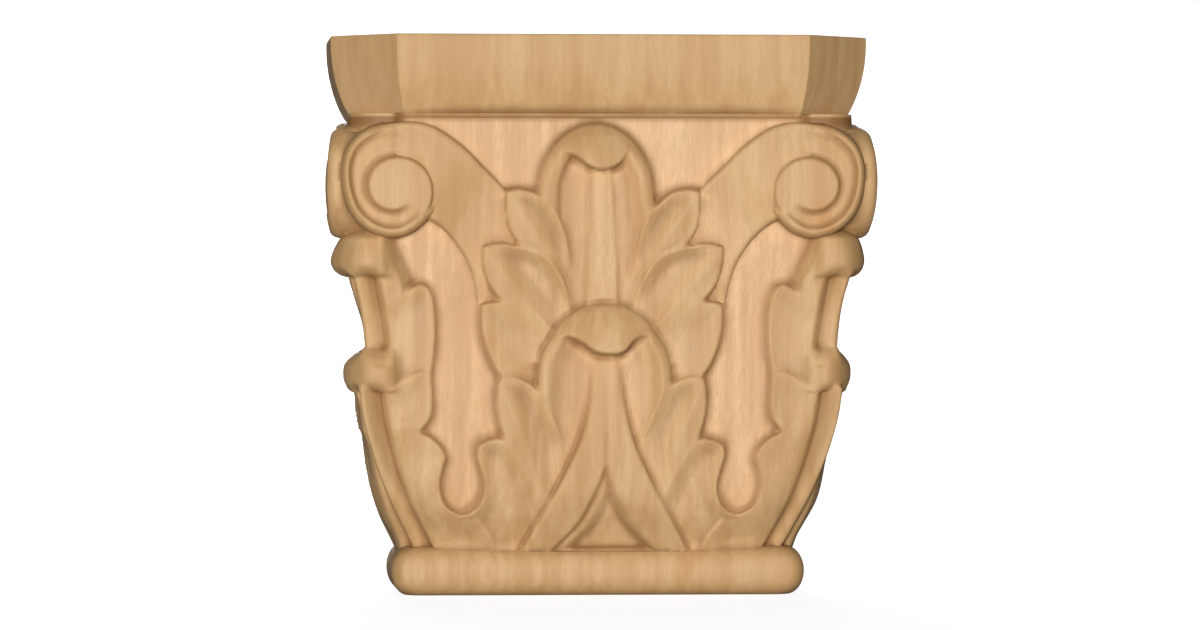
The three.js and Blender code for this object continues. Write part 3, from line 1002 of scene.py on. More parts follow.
def moulding(block: Block, rings: Sequence[Ring], bays: int = 8) -> Shell:
    """Stack rings into a closed moulding with flat ends and a flat back.

    Args:
        block: The block that the moulding runs round.
        rings: Levels from the foot up, each with as many corner points.
        bays: Parts that half of the front is split into.

    Returns:
        The closed shell.
    """
    rows = []
    for ring in rings:
        setback = np.array(ring.corner, float)
        x = ring.half - setback[:, 0]
        y = block.front_of(ring.half) + setback[:, 1]
        spread = np.linspace(0.0, 1.0, bays + 1)[:-1]
        x = np.concatenate([spread * x[0], x, [ring.half]])
        y = np.concatenate([np.full(bays, y[0]), y, [block.back]])
        right = np.stack([x, y, np.full_like(x, ring.level)], axis=-1)
        rows.append(np.vstack([right[:0:-1] * [-1, 1, 1], right]))
    return bell_shell(np.array(rows))


@dataclass(frozen=True)
class Mouldings:
    """The torus at the foot and the abacus at the top."""

    block: Block
    torus_rows: int = 27
    corner_columns: int = 12
    abacus_rows: int = 22
    swell_power: float = 0.8
    seam_inset: float = 0.4
    arris: tuple[Point, ...] = ((0.45, 0.0), (0.15, 0.1), (0.0, 0.35))
    mitre_run: float = 0.35
    mitre_bow: float = 0.25

    def torus(self) -> Shell:
        """Turn a half round along the sides and the front, with rounded corners.

        Returns:
            The closed torus.
        """
        block = self.block
        quarter = np.linspace(0.0, math.pi / 2, self.corner_columns)
        corner = [(block.torus_corner * (1 - math.sin(turn)), block.torus_corner * (1 - math.cos(turn)))
                  for turn in quarter]
        rings = []
        for turn in np.linspace(0.0, math.pi, self.torus_rows):
            level = block.torus_height / 2 * (1 - math.cos(turn))
            half = block.torus_half_width - block.torus_nose * (1 - math.sin(turn))
            rings.append(Ring(level, half, corner))
        return moulding(block, rings)

    def abacus(self) -> Shell:
        """Swell a quarter round up to the top, mitred round the cut corners, its arrises eased.

        Returns:
            The closed abacus.
        """
        block = self.block
        round_top = block.height - block.abacus_fillet
        profile = [(block.bell_top, block.abacus_inset + self.seam_inset)]
        for share in np.linspace(0.0, 1.0, self.abacus_rows):
            inset = block.abacus_inset * (1 - math.sin(math.pi / 2 * share**self.swell_power))
            profile.append((mix(block.bell_top, round_top, share), inset))
        profile += [(block.height - below, inset) for below, inset in self.arris]
        slant = self.mitre_run / math.sqrt(2)
        bow = slant * self.mitre_bow
        rings = []
        for level, inset in profile:
            leg = block.abacus_cut - inset * (2 - math.sqrt(2))
            far, near = leg + self.mitre_run, leg - slant
            corner = ((far, 0), (near, bow), (bow, near), (0, far))
            rings.append(Ring(float(level), block.abacus_half_width - inset, corner))
        return moulding(block, rings)


@dataclass(frozen=True)
class Volute:
    """One scroll: a short drum with a spiral on its face."""

    block: Block
    setback: float = 17.7
    eye_inward: float = 17.1
    eye_level: float = 102.1
    groove: Pairs = ((-134, 5.0), (-88, 6.1), (4, 7.2), (97, 7.6), (184, 9.3), (226, 10.4))
    rim: Pairs = ((-134, 11.3), (-112, 12.0), (-90, 12.7), (-45, 13.0), (0, 13.5), (45, 15.9), (90, 16.2),
                  (135, 15.0), (180, 12.6), (226, 11.3))
    bulge: float = 0.0085
    bulge_above_eye: float = 1.0
    bulge_reach: float = 16.0
    eye_sink: float = 0.3
    band_depth: Pairs = ((-134, 0.3), (-110, 0.95), (-60, 1.65), (4, 1.9), (97, 1.9), (184, 2.1),
                         (226, 2.2))
    band_lift: float = 0.14
    band_lift_run: Point = (4.2, 2.4)
    groove_wall: Point = (-0.75, 0.35)
    groove_foot: Line = Line(0.45, 0.75, -0.5)
    groove_foot_turns: float = 40.0
    fillet_depth: float = 0.0
    fillet_width: float = 1.9
    fillet_wall: float = 1.1
    fillet_turns: Point = (84.0, 60.0)
    rim_round: float = 1.8
    rim_fall: float = 3.4
    wall_step: float = 8.0
    end_hub: float = 0.02
    columns: int = 132
    face_rows: int = 33
    rim_rows: int = 6

    @property
    def start(self) -> float:
        """Turn at which the spiral ends in the eye, in degrees."""
        return self.groove[0][0]

    @property
    def eye_x(self) -> float:
        """Distance of the eye from the middle of the front."""
        return self.block.half_width - self.eye_inward

    def face_depth(self, radius: Array, turn: Array) -> Array:
        """Depth of the scroll's face behind its eye.

        The face bulges up and down like a barrel, and the eye lies a little below it. Outside the
        spiral is a band, which is hollow towards a fillet along the rim and rises to the eye where
        the spiral ends.

        Args:
            radius: Distance from the middle of the eye.
            turn: Direction in degrees, 0 outwards and 90 up.

        Returns:
            Depth in millimetres.
        """
        to_rim = smooth_through(self.rim)(turn) - radius
        floor = smooth_through(self.band_depth)(turn)
        outside = radius - smooth_through(self.groove)(turn)
        foot = self.groove_foot.at(outside) * ease(turn, self.start, self.start + self.groove_foot_turns)
        hollow = 1 - self.band_lift + self.band_lift * ease(to_rim, *self.band_lift_run)
        fillet = ease(to_rim, self.fillet_width + self.fillet_wall, self.fillet_width)
        fillet = fillet * ease(turn, *self.fillet_turns)
        band = mix(floor * hollow + foot, np.minimum(floor, self.fillet_depth), fillet)
        level = self.eye_level + radius * np.sin(np.radians(turn))
        return self.barrel(level) + mix(self.eye_sink, band, ease(outside, *self.groove_wall))

    def barrel(self, level: Array) -> Array:
        """Depth of the barrel that the faces lie on: it grows with the square of the way off the eye."""
        off = level - self.eye_level - self.bulge_above_eye
        return self.bulge * np.clip(off, -self.bulge_reach, self.bulge_reach) ** 2

    def build(self) -> Shell:
        """Build the drum on rings round the eye: the face, the rounded rim, the wall and the end.

        Returns:
            The closed drum on the right of the front.
        """
        turns = np.linspace(self.start, self.start + 360, self.columns, endpoint=False)[None, :]
        rim = smooth_through(self.rim)(turns)
        edge = rim - self.rim_round
        face_radius = edge * np.linspace(0.0, 1.0, self.face_rows)[1:, None]
        face_depth = self.face_depth(face_radius, turns)
        bend = np.linspace(0.0, math.pi / 2, self.rim_rows)[1:, None]
        rim_radius = edge + self.rim_round * np.sin(bend)
        rim_depth = face_depth[-1:] + self.rim_fall * (1 - np.cos(bend))
        steps = [np.full_like(rim, step) for step in (self.wall_step, self.setback, self.setback)]
        radius = np.vstack([face_radius, rim_radius, rim, rim, rim * self.end_hub])
        depth = np.vstack([face_depth, rim_depth, *steps])
        angle = np.radians(turns)
        x = self.eye_x + radius * np.cos(angle)
        z = self.eye_level + radius * np.sin(angle)
        grid = np.stack([x, self.block.front + depth, z], axis=-1)
        rows, columns = grid.shape[:2]
        hubs = (self.eye_sink + self.barrel(self.eye_level), self.setback)
        centres = np.array([[self.eye_x, self.block.front + hub, self.eye_level] for hub in hubs])
        count = rows * columns
        ring = np.arange(columns)
        after = (ring + 1) % columns
        last = count - columns
        eye = np.stack([np.full(columns, count), after, ring, ring], axis=-1)
        end = np.stack([np.full(columns, count + 1), last + ring, last + after, last + after], axis=-1)
        faces = np.vstack([grid_faces(rows, columns, closed=True), eye, end])
        return Shell(np.vstack([grid.reshape(-1, 3), centres]), faces)


@dataclass(frozen=True)
class Stem:
    """The stem that climbs from behind the leaf and rolls into a scroll."""

    scroll: Volute
    upper: Pairs = ((17.5, 70), (15.5, 82), (18.5, 93), (24.3, 101.4), (30.4, 107.6), (34.6, 111.9),
                    (40.7, 116.3), (45.5, 118.0), (51, 118.2), (56, 117.4))
    lower: Pairs = ((30.9, 66), (31.1, 74.5), (33.0, 82), (36.6, 88.2), (40.3, 92.1), (44.2, 94.9),
                    (44.4, 98.6), (44.4, 103.6), (46.2, 107.6), (51, 109.2))
    rise: float = 1.9
    rise_levels: Point = (68.0, 80.0)
    hollow: float = 0.45
    bell_share: Point = (0.62, 0.24)
    band_share: float = 0.88
    proud: float = 0.05
    sink: float = 0.6
    sink_turns: Point = (104.0, 78.0)
    sink_reach: float = 20.0
    lower_rim: Line = Line(0.33, 0.09)
    lower_rim_end: Point = (0.74, 0.55)
    upper_rim: Line = Line(0.55, 0.1)
    upper_rim_end: Point = (0.98, 0.75)
    edge_round: float = 0.8
    edge_share: float = 0.05
    thickness: float = 3.0
    steps: int = 12
    columns: int = 21

    def build(self) -> Shell:
        """Carry a shallow trough from behind the leaf up to the scroll and into its band.

        Across it the surface runs from the lower edge to the upper one, with a raised rim along
        each. Its depth follows the bell at the foot and the scroll's band at the top.

        Returns:
            The closed stem on the right of the front.
        """
        scroll, block = self.scroll, self.scroll.block
        upper = smooth_stroke(self.upper, self.steps)[:, None]
        lower = smooth_stroke(self.lower, self.steps)[:, None]
        across = np.linspace(0.0, 1.0, self.columns)[None, :]
        place = mix(lower, upper, across[..., None])
        x, z = place[..., 0], place[..., 1]
        along = np.linspace(0.0, 1.0, len(upper))[:, None] * np.ones_like(across)
        ground = block.front_of(block.half(z))
        turn = np.degrees(np.arctan2(z - scroll.eye_level, x - scroll.eye_x))
        turn = np.where(turn < scroll.start, turn + 360, turn)
        depth = smooth_through(scroll.band_depth)(turn)
        at_scroll = block.front + scroll.barrel(z) + depth * self.band_share - self.proud
        near_eye = np.hypot(x - scroll.eye_x, z - scroll.eye_level) < self.sink_reach
        sink = self.sink * ease(turn, *self.sink_turns) * near_eye
        rims = self.lower_rim.at(across) * ease(along, *self.lower_rim_end)
        rims = rims + self.upper_rim.at(1 - across) * ease(along, *self.upper_rim_end)
        on_bell = ground - self.rise * ease(z, *self.rise_levels) + self.hollow * np.sin(math.pi * across)
        y = mix(at_scroll, on_bell, ease(along, *self.bell_share)) - rims + sink
        for from_edge in (across, 1 - across):
            y = y + self.edge_round * (1 - quarter_round(from_edge / self.edge_share))
        outer = np.stack([x, y, z], axis=-1)
        inner = np.stack([x, ground + self.thickness, z], axis=-1)
        return closed_slab(outer, inner)


class Wire:
    """A socket of the shader that can be used in sums, so that a mask reads as a formula."""

    def __init__(self, tree: "Shader", socket: bpy.types.NodeSocket) -> None:
        """Wrap an output socket of a shader.

        Args:
            tree: The shader that the socket's node belongs to.
            socket: The output socket.
        """
        self.tree = tree
        self.socket = socket

    def _join(self, operation: str, first: object, second: object) -> "Wire":
        """Add a Math node that joins two wires or numbers."""
        return self.tree.node("ShaderNodeMath", {"operation": operation}, {0: first, 1: second})

    def __add__(self, other: object) -> "Wire":
        """Add."""
        return self._join("ADD", self, other)

    def __sub__(self, other: object) -> "Wire":
        """Take away."""
        return self._join("SUBTRACT", self, other)

    def __mul__(self, other: object) -> "Wire":
        """Multiply."""
        return self._join("MULTIPLY", self, other)

    def __rsub__(self, other: object) -> "Wire":
        """Take this away from a number."""
        return self._join("SUBTRACT", other, self)

    __radd__ = __add__
    __rmul__ = __mul__


@dataclass(frozen=True)
class Noise:
    """A layer of noise: its steps per metre, detail and roughness, and the span and share that show."""

    stretch: tuple[float, float, float]
    detail: float
    rough: float
    span: Point = (0.0, 1.0)
    share: float = 1.0


class Shader:
    """The nodes of one material, or of the world round the studio."""

    def __init__(self, owner: bpy.types.Material | bpy.types.World) -> None:
        """Start an empty tree in a material or a world.

        Args:
            owner: The material or the world that the nodes belong to.
        """
        owner.use_nodes = True
        self.owner = owner
        self.nodes = owner.node_tree.nodes
        self.links = owner.node_tree.links
        self.nodes.clear()

    def node(self, kind: str, settings: dict | None = None, inputs: dict | None = None,
             output: str | int = 0) -> "Wire | None":
        """Add a node.

        Args:
            kind: Type of the node.
            settings: Its settings, set before its sockets.
            inputs: Values or wires by socket name or number.
            output: Name or number of the socket to return.

        Returns:
            The chosen output as a wire, or nothing where the node has none.
        """
        node = self.nodes.new(kind)
        for key, value in (settings or {}).items():
            setattr(node, key, value)
        for key, value in (inputs or {}).items():
            socket = node.inputs[key]
            if isinstance(value, Wire):
                self.links.new(value.socket, socket)
            else:
                socket.default_value = value
        return Wire(self, node.outputs[output]) if node.outputs else None

    def blend(self, share: Wire, first: object, second: object) -> Wire:
        """Mix two colours.

        Args:
            share: How much of the second colour shows, from 0 to 1.
            first: A colour or a wire that carries one.
            second: The same.

        Returns:
            The mixed colour.
        """
        settings = {"data_type": "RGBA", "blend_type": "MIX", "clamp_factor": True}
        return self.node("ShaderNodeMix", settings, {0: share, 6: first, 7: second}, 2)

    def noise(self, place: Wire, layer: Noise) -> Wire:
        """Add a layer of noise.

        Args:
            place: Place on the piece.
            layer: The layer's stretch, detail and roughness.

        Returns:
            The noise, about 0.5 in the mean.
        """
        scaled = self.node("ShaderNodeMapping", {}, {"Vector": place, "Scale": layer.stretch})
        inputs = {"Vector": scaled, "Scale": 1.0, "Detail": layer.detail, "Roughness": layer.rough}
        return self.node("ShaderNodeTexNoise", {"noise_dimensions": "3D"}, inputs)

    def between(self, value: Wire, low: float, high: float) -> Wire:
        """Stretch a value so that low gives 0 and high gives 1, held at both.

        Args:
            value: The value to stretch.
            low: Value that gives 0.
            high: Value that gives 1.

        Returns:
            The stretched value.
        """
        inputs = {"Value": value, "From Min": low, "From Max": high}
        return self.node("ShaderNodeMapRange", {"clamp": True, "interpolation_type": "SMOOTHSTEP"}, inputs)


def rgb(code: str) -> tuple[float, float, float, float]:
    """Turn a colour code of six hex digits into linear values, by the standard screen curve.

    Args:
        code: The six digits.

    Returns:
        Red, green, blue and an opaque alpha.
    """
    parts = [int(code[i:i + 2], 16) / 255 for i in (0, 2, 4)]
    return tuple(((p + 0.055) / 1.055) ** 2.4 if p > 0.04045 else p / 12.92 for p in parts) + (1.0,)


@dataclass(frozen=True)
class MapleFinish:
    """Bare sanded maple: vertical grain, darker end grain, paler and pinker on the ground, with painted
    shade in the creases, in the gap under the abacus and on faces turned from the lamp.
    """

    leaf: str = "dfb886"
    leaf_deep: str = "cb9f6c"
    ground: str = "efc899"
    ground_deep: str = "d6ac7d"
    # end grain and painted shade: one olive brown for faces across the grain, and for chamfers and slopes
    # turned from the lamp
    end_grain_and_shade: str = "a9834f"
    # painted shade: the dark brown laid into creases and into the gap under the abacus
    cut: str = "8b6136"
    stain: str = "cb8a4a"
    fibre: Noise = Noise((2000, 2000, 330), 3.0, 0.65, (0.42, 0.7), 0.42)
    streak: Noise = Noise((330, 330, 5.5), 3.0, 0.55)
    band: Noise = Noise((75, 75, 3.0), 2.0, 0.5)
    cloud: Noise = Noise((28, 28, 19), 2.0, 0.5, (0.42, 0.72), 0.2)
    spot: Noise = Noise((62, 62, 40), 1.0, 0.5, (0.68, 0.76), 0.35)
    figure_span: Point = (0.36, 0.64)
    streak_share: float = 0.6
    band_share: float = 0.4
    end_grain_and_shade_share: float = 0.46
    painted_crease_shade_share: float = 0.85
    fibre_bump: float = 0.7
    streak_bump: float = 0.3
    bump_strength: float = 0.16
    bump_height: float = 0.00025
    roughness: float = 0.6
    roughness_swing: float = 0.12
    roughness_span: Point = (0.2, 0.8)
    specular: float = 0.32

    def build(self) -> bpy.types.Material:
        """Build the material.

        The figure of streaks and bands picks between a pale and a deep tone, on the leaves and on
        the ground. Fibres, clouds and stains are then laid over it. Next comes end grain mixed with
        painted shade on faces turned from the lamp. Last comes painted shade in the creases and in
        the gap under the abacus.

        Returns:
            The material, on object coordinates and on the piece's own attributes: the hollow that
            carries painted shade for creases, the plain ground, and the end grain mixed with painted
            shade.
        """
        shader = Shader(bpy.data.materials.new("maple"))
        place = shader.node("ShaderNodeTexCoord", output="Object")
        hollow, plain, across = (
            shader.node("ShaderNodeAttribute", {"attribute_name": name}, output="Fac")
            for name in ("hollow", "ground", "end_grain_and_shade"))
        fibre, streak, band, cloud, spot = (
            shader.noise(place, layer)
            for layer in (self.fibre, self.streak, self.band, self.cloud, self.spot))
        figure = shader.between(streak * self.streak_share + band * self.band_share, *self.figure_span)
        leaf = shader.blend(figure, rgb(self.leaf_deep), rgb(self.leaf))
        ground = shader.blend(figure, rgb(self.ground_deep), rgb(self.ground))
        colour = shader.blend(plain, leaf, ground)
        for wire, layer, tone in ((fibre, self.fibre, self.leaf_deep), (cloud, self.cloud, self.leaf_deep),
                                  (spot, self.spot, self.stain)):
            colour = shader.blend(shader.between(wire, *layer.span) * layer.share, colour, rgb(tone))
        # end grain mixed with painted shade on chamfers and on slopes turned from the lamp
        colour = shader.blend(across * self.end_grain_and_shade_share, colour, rgb(self.end_grain_and_shade))
        # painted shade: creases and the gap under the abacus are darkened towards the dark brown
        colour = shader.blend(hollow * self.painted_crease_shade_share, colour, rgb(self.cut))
        grain = fibre * self.fibre_bump + streak * self.streak_bump
        bump = shader.node("ShaderNodeBump", {}, {
            "Strength": self.bump_strength, "Distance": self.bump_height, "Height": grain,
        })
        rough = shader.between(streak, *self.roughness_span) * self.roughness_swing
        surface = shader.node("ShaderNodeBsdfPrincipled", {}, {
            "Base Color": colour, "Roughness": rough + (self.roughness - self.roughness_swing / 2),
            "Normal": bump, "Specular IOR Level": self.specular,
        })
        shader.node("ShaderNodeOutputMaterial", {}, {"Surface": surface})
        return shader.owner


def points_of(mesh: bpy.types.Mesh) -> Array:
    """Read the points of a mesh.

    Args:
        mesh: The mesh, in metres.

    Returns:
        Its points in millimetres.
    """
    points = np.empty(len(mesh.vertices) * 3)
    mesh.vertices.foreach_get("co", points)
    return points.reshape(-1, 3) / MM


def edges_of(mesh: bpy.types.Mesh) -> Array:
    """Read the edges of a mesh.

    Args:
        mesh: The mesh.

    Returns:
        The numbers of the two points of each edge.
    """
    ends = np.empty(len(mesh.edges) * 2, np.int64)
    mesh.edges.foreach_get("vertices", ends)
    return ends.reshape(-1, 2)


@dataclass(frozen=True)
class Marks:
    """Numbers that are stored at each point of the piece, for the finish to read."""

    block: Block
    hollow_gain: float = 9.5
    hollow_rounds: int = 8
    crevice_corner: tuple[Point, Point] = ((115.0, 118.2), (46.0, 51.0))
    crevice_levels: Point = (117.8, 119.3)
    crevice_share: float = 0.6
    crevice_top: Point = (119.55, 119.4)
    crevice_depth: Point = (3.9, 4.8)
    crevice_back: Point = (0.3, 2.0)
    end_slope: Point = (0.2, 0.85)
    chamfer_reach: Point = (42.0, 47.0)
    abacus_share: float = 0.3
    abacus_start: float = 0.5
    end_share: float = 0.5
    end_within: float = 0.05
    plain_rise: Point = (1.5, 0.6)
    low_rise: Point = (3.1, 2.3)
    low_share: float = 0.5
    plain_foot: Point = (19.0, 20.5)
    plain_top: Point = (119.5, 118.5)
    plain_back: Point = (0.4, 0.6)
    corner_blend: float = 1.0

    def hollow(self, points: Array, normals: Array, edges: Array) -> Array:
        """Measure how hollow each point is.

        It is how far the points beside a point stand out of its tangent plane, over their distance,
        in the mean. Each round then takes half of a point's value from its neighbours' mean.

        Args:
            points: Points in millimetres.
            normals: Normal at each point.
            edges: The two points of each edge.

        Returns:
            The measure, above 0 in a hollow.
        """
        count, tiny = len(points), 1e-6
        a, b = edges.T
        way = points[b] - points[a]
        length = np.linalg.norm(way, axis=1) + tiny
        total, weight = np.zeros(count), np.zeros(count)
        for here, sign in ((a, 1.0), (b, -1.0)):
            np.add.at(total, here, sign * np.einsum("ij,ij->i", way, normals[here]) / length)
            np.add.at(weight, here, 1.0)
        weight = np.maximum(weight, 1.0)
        hollow = total / weight
        for _ in range(self.hollow_rounds):
            spread = np.zeros(count)
            np.add.at(spread, a, hollow[b])
            np.add.at(spread, b, hollow[a])
            hollow = 0.5 * hollow + 0.5 * spread / weight
        return hollow

    def crevice_shadow(self, points: Array) -> Array:
        """Find the gap under the abacus, where shadow is painted in; it is taller over the volutes.

        Args:
            points: Points in millimetres.

        Returns:
            From 0 to 1 at each point.
        """
        x, y, z = np.abs(points[:, 0]), points[:, 1], points[:, 2]
        depth = np.minimum(y - self.block.front, self.block.half_width - x)
        corner_levels, corner_reach = self.crevice_corner
        corner = ease(z, *corner_levels) * ease(x, *corner_reach)
        crevice_shadow = np.maximum(corner, self.crevice_share * ease(z, *self.crevice_levels))
        back = self.block.back
        before_back = ease(y, back - self.crevice_back[0], back - self.crevice_back[1])
        return crevice_shadow * ease(z, *self.crevice_top) * ease(depth, *self.crevice_depth) * before_back

    def end_grain_and_shade(self, points: Array, normals: Array) -> Array:
        """Find how far each point's surface cuts across the grain, which runs up the block, mixed with
        painted shade.

        On surfaces that face up or down, the darkening is partly real end grain and partly painted
        shade where slopes turn away from the lamp. The slanted chamfers of the corners, where
        4 * (normal x)^2 * (normal y)^2 is 1, get painted shade for turning away from the lamp. The
        abacus is a little darker all over.

        Args:
            points: Points in millimetres.
            normals: Normal at each point.

        Returns:
            From 0 to 1 at each point.
        """
        x, z = np.abs(points[:, 0]), points[:, 2]
        # painted shade: chamfers turned 45 degrees from the front are darkened as if in shade
        slant = 4 * normals[:, 0] ** 2 * normals[:, 1] ** 2 * ease(x, *self.chamfer_reach)
        # partly real end grain, partly painted shade on slopes that face up or down
        across = np.maximum(ease(np.abs(normals[:, 2]), *self.end_slope), slant)
        across = np.maximum(across, self.abacus_share * (z > self.block.bell_top + self.abacus_start))
        flat_end = (z > self.block.height - self.end_within) | (z < self.end_within)
        return np.where(flat_end, self.end_share, across)

    def plain(self, points: Array) -> Array:
        """Find the plain ground of the bell, where the relief stands out by less than a millimetre.

        Low relief of 2 to 3 mm counts by half. The rounded corner and the back don't count.

        Args:
            points: Points in millimetres.

        Returns:
            From 0 to 1 at each point.
        """
        x, y, z = np.abs(points[:, 0]), points[:, 1], points[:, 2]
        half, radius = self.block.half(z), self.block.corner(z)
        behind = y - self.block.front_of(half)
        rise = np.maximum(-behind, x - half)
        plain = np.maximum(ease(rise, *self.plain_rise), self.low_share * ease(rise, *self.low_rise))
        plain = plain * ease(z, *self.plain_foot) * ease(z, *self.plain_top)
        past_front = ease(x - half + radius, -self.corner_blend, 0.0)
        before_side = ease(behind - radius, self.corner_blend, 0.0)
        back = self.block.back
        before_back = ease(y, back - self.plain_back[0], back - self.plain_back[1])
        return plain * (1 - past_front * before_side) * before_back

    def write(self, mesh: bpy.types.Mesh) -> None:
        """Store painted shade for the hollows and the gap under the abacus, the end grain mixed with
        painted shade, and the plain ground of a mesh as its attributes.

        Args:
            mesh: The piece's finished mesh.
        """
        points = points_of(mesh)
        normals = np.empty(points.size)
        mesh.vertex_normals.foreach_get("vector", normals)
        normals = normals.reshape(-1, 3)
        hollow = np.clip(self.hollow(points, normals, edges_of(mesh)) * self.hollow_gain, 0.0, 1.0)
        marks = {
            # painted shade: hollows and the gap under the abacus, darkened by the finish
            "hollow": np.maximum(hollow, self.crevice_shadow(points)),
            # end grain mixed with painted shade on chamfers and on slopes turned from the lamp
            "end_grain_and_shade": self.end_grain_and_shade(points, normals),
            "ground": self.plain(points),
        }
        for name, values in marks.items():
            attribute = mesh.attributes.new(name, "FLOAT", "POINT")
            attribute.data.foreach_set("value", values.astype(np.float32))


@dataclass(frozen=True)
class Capital:
    """The whole carved block as one piece."""

    block: Block = Block()
    finish: MapleFinish = MapleFinish()
    name: str = "carved_capital"
    trim_room: tuple[float, float, float] = (1.2, 1.0, 1.2)
    sharp_angle: float = 32.0
    arris_above_bell: float = -0.2
    back_within: float = 0.05
    torus_within: float = 0.3

    def shells(self) -> dict[str, Shell]:
        """List every closed form but the bell, with the repeats to the left and round the corners.

        Returns:
            The forms by name.
        """
        block, mouldings, scroll = self.block, Mouldings(self.block), Volute(self.block)
        forms = {"torus": mouldings.torus(), "abacus": mouldings.abacus()}
        for label, shell in (("drum", scroll.build()), ("stem", Stem(scroll).build())):
            side = shell.mirrored(block.round_corner)
            forms[f"{label}_front_right"] = shell
            forms[f"{label}_front_left"] = shell.mirrored(block.to_left)
            forms[f"{label}_side_right"] = side
            forms[f"{label}_side_left"] = side.mirrored(block.to_left)
        return forms

    def build(self) -> bpy.types.Object:
        """Join every form into one closed mesh, dress it and hang it on the frame.

        Returns:
            The finished piece.
        """
        piece = mesh_object(self.name, BellRelief(self.block).build())
        report(piece)
        tools = bpy.data.collections.new("forms")
        bpy.context.scene.collection.children.link(tools)
        for label, shell in self.shells().items():
            tool = mesh_object(label, shell)
            report(tool)
            bpy.context.scene.collection.objects.unlink(tool)
            tools.objects.link(tool)
        apply_boolean(piece, "UNION", tools)
        self.trim(piece)
        Marks(self.block).write(piece.data)
        for tool in list(tools.objects):
            bpy.data.objects.remove(tool, do_unlink=True)
        bpy.data.collections.remove(tools)
        piece.data.materials.clear()
        piece.data.materials.append(self.finish.build())
        self.mark_sharp(piece.data)
        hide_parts("capital")
        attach(piece, "root")
        report(piece)
        return piece

    def trim(self, piece: bpy.types.Object) -> None:
        """Cut off what reaches past the front and the flat back of the block.

        Args:
            piece: The joined piece; its mesh is replaced.
        """
        low, high = np.array(CAD_BOX) / MM
        signs = np.array([[x, y, z] for z in (-1, 1) for y in (-1, 1) for x in (-1, 1)], float)
        points = (high + low) / 2 + signs * (high - low) / 2 * np.array(self.trim_room)
        faces = np.array([[0, 2, 3, 1], [4, 5, 7, 6], [0, 1, 5, 4],
                          [2, 6, 7, 3], [0, 4, 6, 2], [1, 3, 7, 5]])
        box = mesh_object("limits", Shell(points, faces))
        apply_boolean(piece, "INTERSECT", box)
        bpy.data.objects.remove(box, do_unlink=True)

    def mark_sharp(self, mesh: bpy.types.Mesh) -> None:
        """Shade smooth, but keep the arrises of the abacus, the torus, the back and the ends sharp.

        Args:
            mesh: The piece's finished mesh.
        """
        mesh.shade_smooth()
        mesh.set_sharp_from_angle(angle=math.radians(self.sharp_angle))
        sharp = mesh.attributes["sharp_edge"]
        flags = np.empty(len(mesh.edges), bool)
        sharp.data.foreach_get("value", flags)
        middle = points_of(mesh)[edges_of(mesh)].mean(axis=1)
        y, z = middle[:, 1], middle[:, 2]
        straight = z > self.block.bell_top + self.arris_above_bell
        straight |= y > self.block.back - self.back_within
        straight |= np.abs(z - self.block.torus_height) < self.torus_within
        sharp.data.foreach_set("value", flags & straight)


def apply_boolean(piece: bpy.types.Object, operation: str,
                  other: bpy.types.Object | bpy.types.Collection) -> None:
    """Join other forms to a piece, or keep what it shares with another, and apply the result.

    Args:
        piece: The piece; its mesh is replaced.
        operation: Name of the Boolean modifier's operation.
        other: The other object, or a collection of them.
    """
    carve = piece.modifiers.new("carve", "BOOLEAN")
    carve.operation, carve.solver = operation, "MANIFOLD"
    if isinstance(other, bpy.types.Collection):
        carve.operand_type, carve.collection = "COLLECTION", other
    else:
        carve.object = other
    graph = bpy.context.evaluated_depsgraph_get()
    made = bpy.data.meshes.new_from_object(piece.evaluated_get(graph))
    piece.modifiers.clear()
    old, piece.data = piece.data, made
    bpy.data.meshes.remove(old)


def report(obj: bpy.types.Object) -> None:
    """Log an object's name and its number of triangles."""
    triangles = sum(len(face.vertices) - 2 for face in obj.data.polygons)
    log.info("%s: %d triangles", obj.name, triangles)


@dataclass(frozen=True)
class Lamp:
    """A square soft light, placed in metres."""

    name: str
    place: tuple[float, float, float]
    size: float
    power: float

    def build(self, aim: Vector) -> None:
        """Add the light to the scene, facing the aim.

        Args:
            aim: Point that it faces.
        """
        data = bpy.data.lights.new(self.name, "AREA")
        data.shape, data.size, data.energy = "SQUARE", self.size, self.power
        obj = bpy.data.objects.new(self.name, data)
        obj.location = self.place
        obj.rotation_euler = (aim - Vector(self.place)).to_track_quat("-Z", "Y").to_euler()
        bpy.context.scene.collection.objects.link(obj)


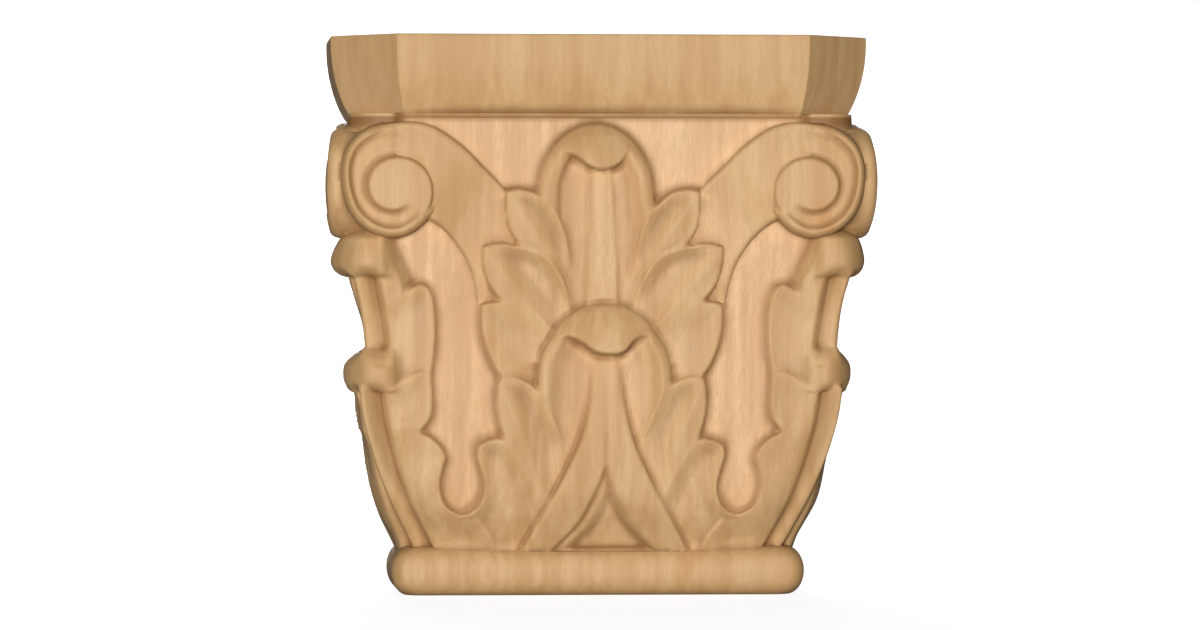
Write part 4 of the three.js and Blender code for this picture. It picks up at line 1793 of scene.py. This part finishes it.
@dataclass(frozen=True)
class Studio:
    """A pale seamless backdrop, soft frontal light and the camera, in metres and degrees."""

    distance: float = 1.513
    azimuth: float = -4.3
    centre: tuple[float, float, float] = (0.0009, 0.0, 0.0703)
    lens: float = 180.0
    sensor: float = 36.0
    sight: float = 20.0
    paper: str = "8c8b8a"
    paper_glow: float = 0.9
    paper_width: float = 4.0
    paper_near: float = -2.4
    paper_bend: float = 0.9
    paper_radius: float = 0.7
    paper_top: float = 3.0
    bend_rows: int = 24
    fill: float = 0.035
    lamp_aim: tuple[float, float, float] = (0.0, 0.0, 0.07)
    lamps: tuple[Lamp, ...] = (Lamp("key", (-0.22, -1.6, 0.11), 0.34, 29.0),
                               Lamp("back_light", (0.0, 1.0, 1.5), 1.2, 7.0),
                               Lamp("low_back_light", (0.0, 1.3, 0.6), 0.5, 14.0))

    def backdrop(self) -> None:
        """Sweep a floor that turns up into a wall behind the object.

        The paper adds a white glow for the camera alone, so that it looks white without throwing
        more light on the object.
        """
        radius = self.paper_radius
        turn = np.linspace(0.0, math.pi / 2, self.bend_rows)
        bend = self.paper_bend
        y = np.concatenate([[self.paper_near], bend + radius * np.sin(turn), [bend + radius]])
        z = np.concatenate([[0.0], radius * (1 - np.cos(turn)), [self.paper_top]])
        x = np.array([-self.paper_width, self.paper_width]) / 2
        grid = np.stack(np.broadcast_arrays(x[None, :], y[:, None], z[:, None]), axis=-1)
        mesh = bpy.data.meshes.new("backdrop")
        mesh.from_pydata(grid.reshape(-1, 3), [], grid_faces(len(y), 2)[:, ::-1])
        obj = bpy.data.objects.new("backdrop", mesh)
        bpy.context.scene.collection.objects.link(obj)
        shader = Shader(bpy.data.materials.new("backdrop_paper"))
        diffuse = shader.node("ShaderNodeBsdfDiffuse", {}, {"Color": rgb(self.paper)})
        glow = shader.node("ShaderNodeEmission", {}, {"Strength": self.paper_glow})
        seen = shader.node("ShaderNodeLightPath", output="Is Camera Ray")
        lit = shader.node("ShaderNodeAddShader", {}, {0: diffuse, 1: glow})
        surface = shader.node("ShaderNodeMixShader", {}, {0: seen, 1: diffuse, 2: lit})
        shader.node("ShaderNodeOutputMaterial", {}, {"Surface": surface})
        mesh.materials.append(shader.owner)
        mesh.shade_smooth()

    def room(self) -> None:
        """Light the world: a little fill for the object, and a pale surround for the camera."""
        shader = Shader(bpy.data.worlds.new("studio"))
        seen = shader.node("ShaderNodeLightPath", output="Is Camera Ray")
        strength = seen * (self.paper_glow - self.fill) + self.fill
        sky = shader.node("ShaderNodeBackground", {}, {"Strength": strength})
        shader.node("ShaderNodeOutputWorld", {}, {"Surface": sky})
        bpy.context.scene.world = shader.owner
        bpy.context.scene.view_settings.view_transform = "Standard"

    def camera(self) -> None:
        """Set the camera at the photograph's angle, with its picture centred on the object."""
        data = bpy.data.cameras.new("camera")
        data.lens, data.sensor_width, data.clip_end = self.lens, self.sensor, self.sight
        obj = bpy.data.objects.new("camera", data)
        angle = math.radians(self.azimuth)
        aim = Vector(self.centre)
        obj.location = aim + Vector((math.sin(angle), -math.cos(angle), 0.0)) * self.distance
        obj.rotation_euler = (aim - obj.location).to_track_quat("-Z", "Y").to_euler()
        bpy.context.scene.collection.objects.link(obj)
        bpy.context.scene.camera = obj

    def build(self) -> None:
        """Set up the whole studio: the backdrop, the lamps, the room and the camera."""
        self.backdrop()
        for lamp in self.lamps:
            lamp.build(Vector(self.lamp_aim))
        self.room()
        self.camera()


def main() -> None:
    """Build the capital and the studio."""
    Capital().build()
    Studio().build()


if __name__ == "__main__":
    main()
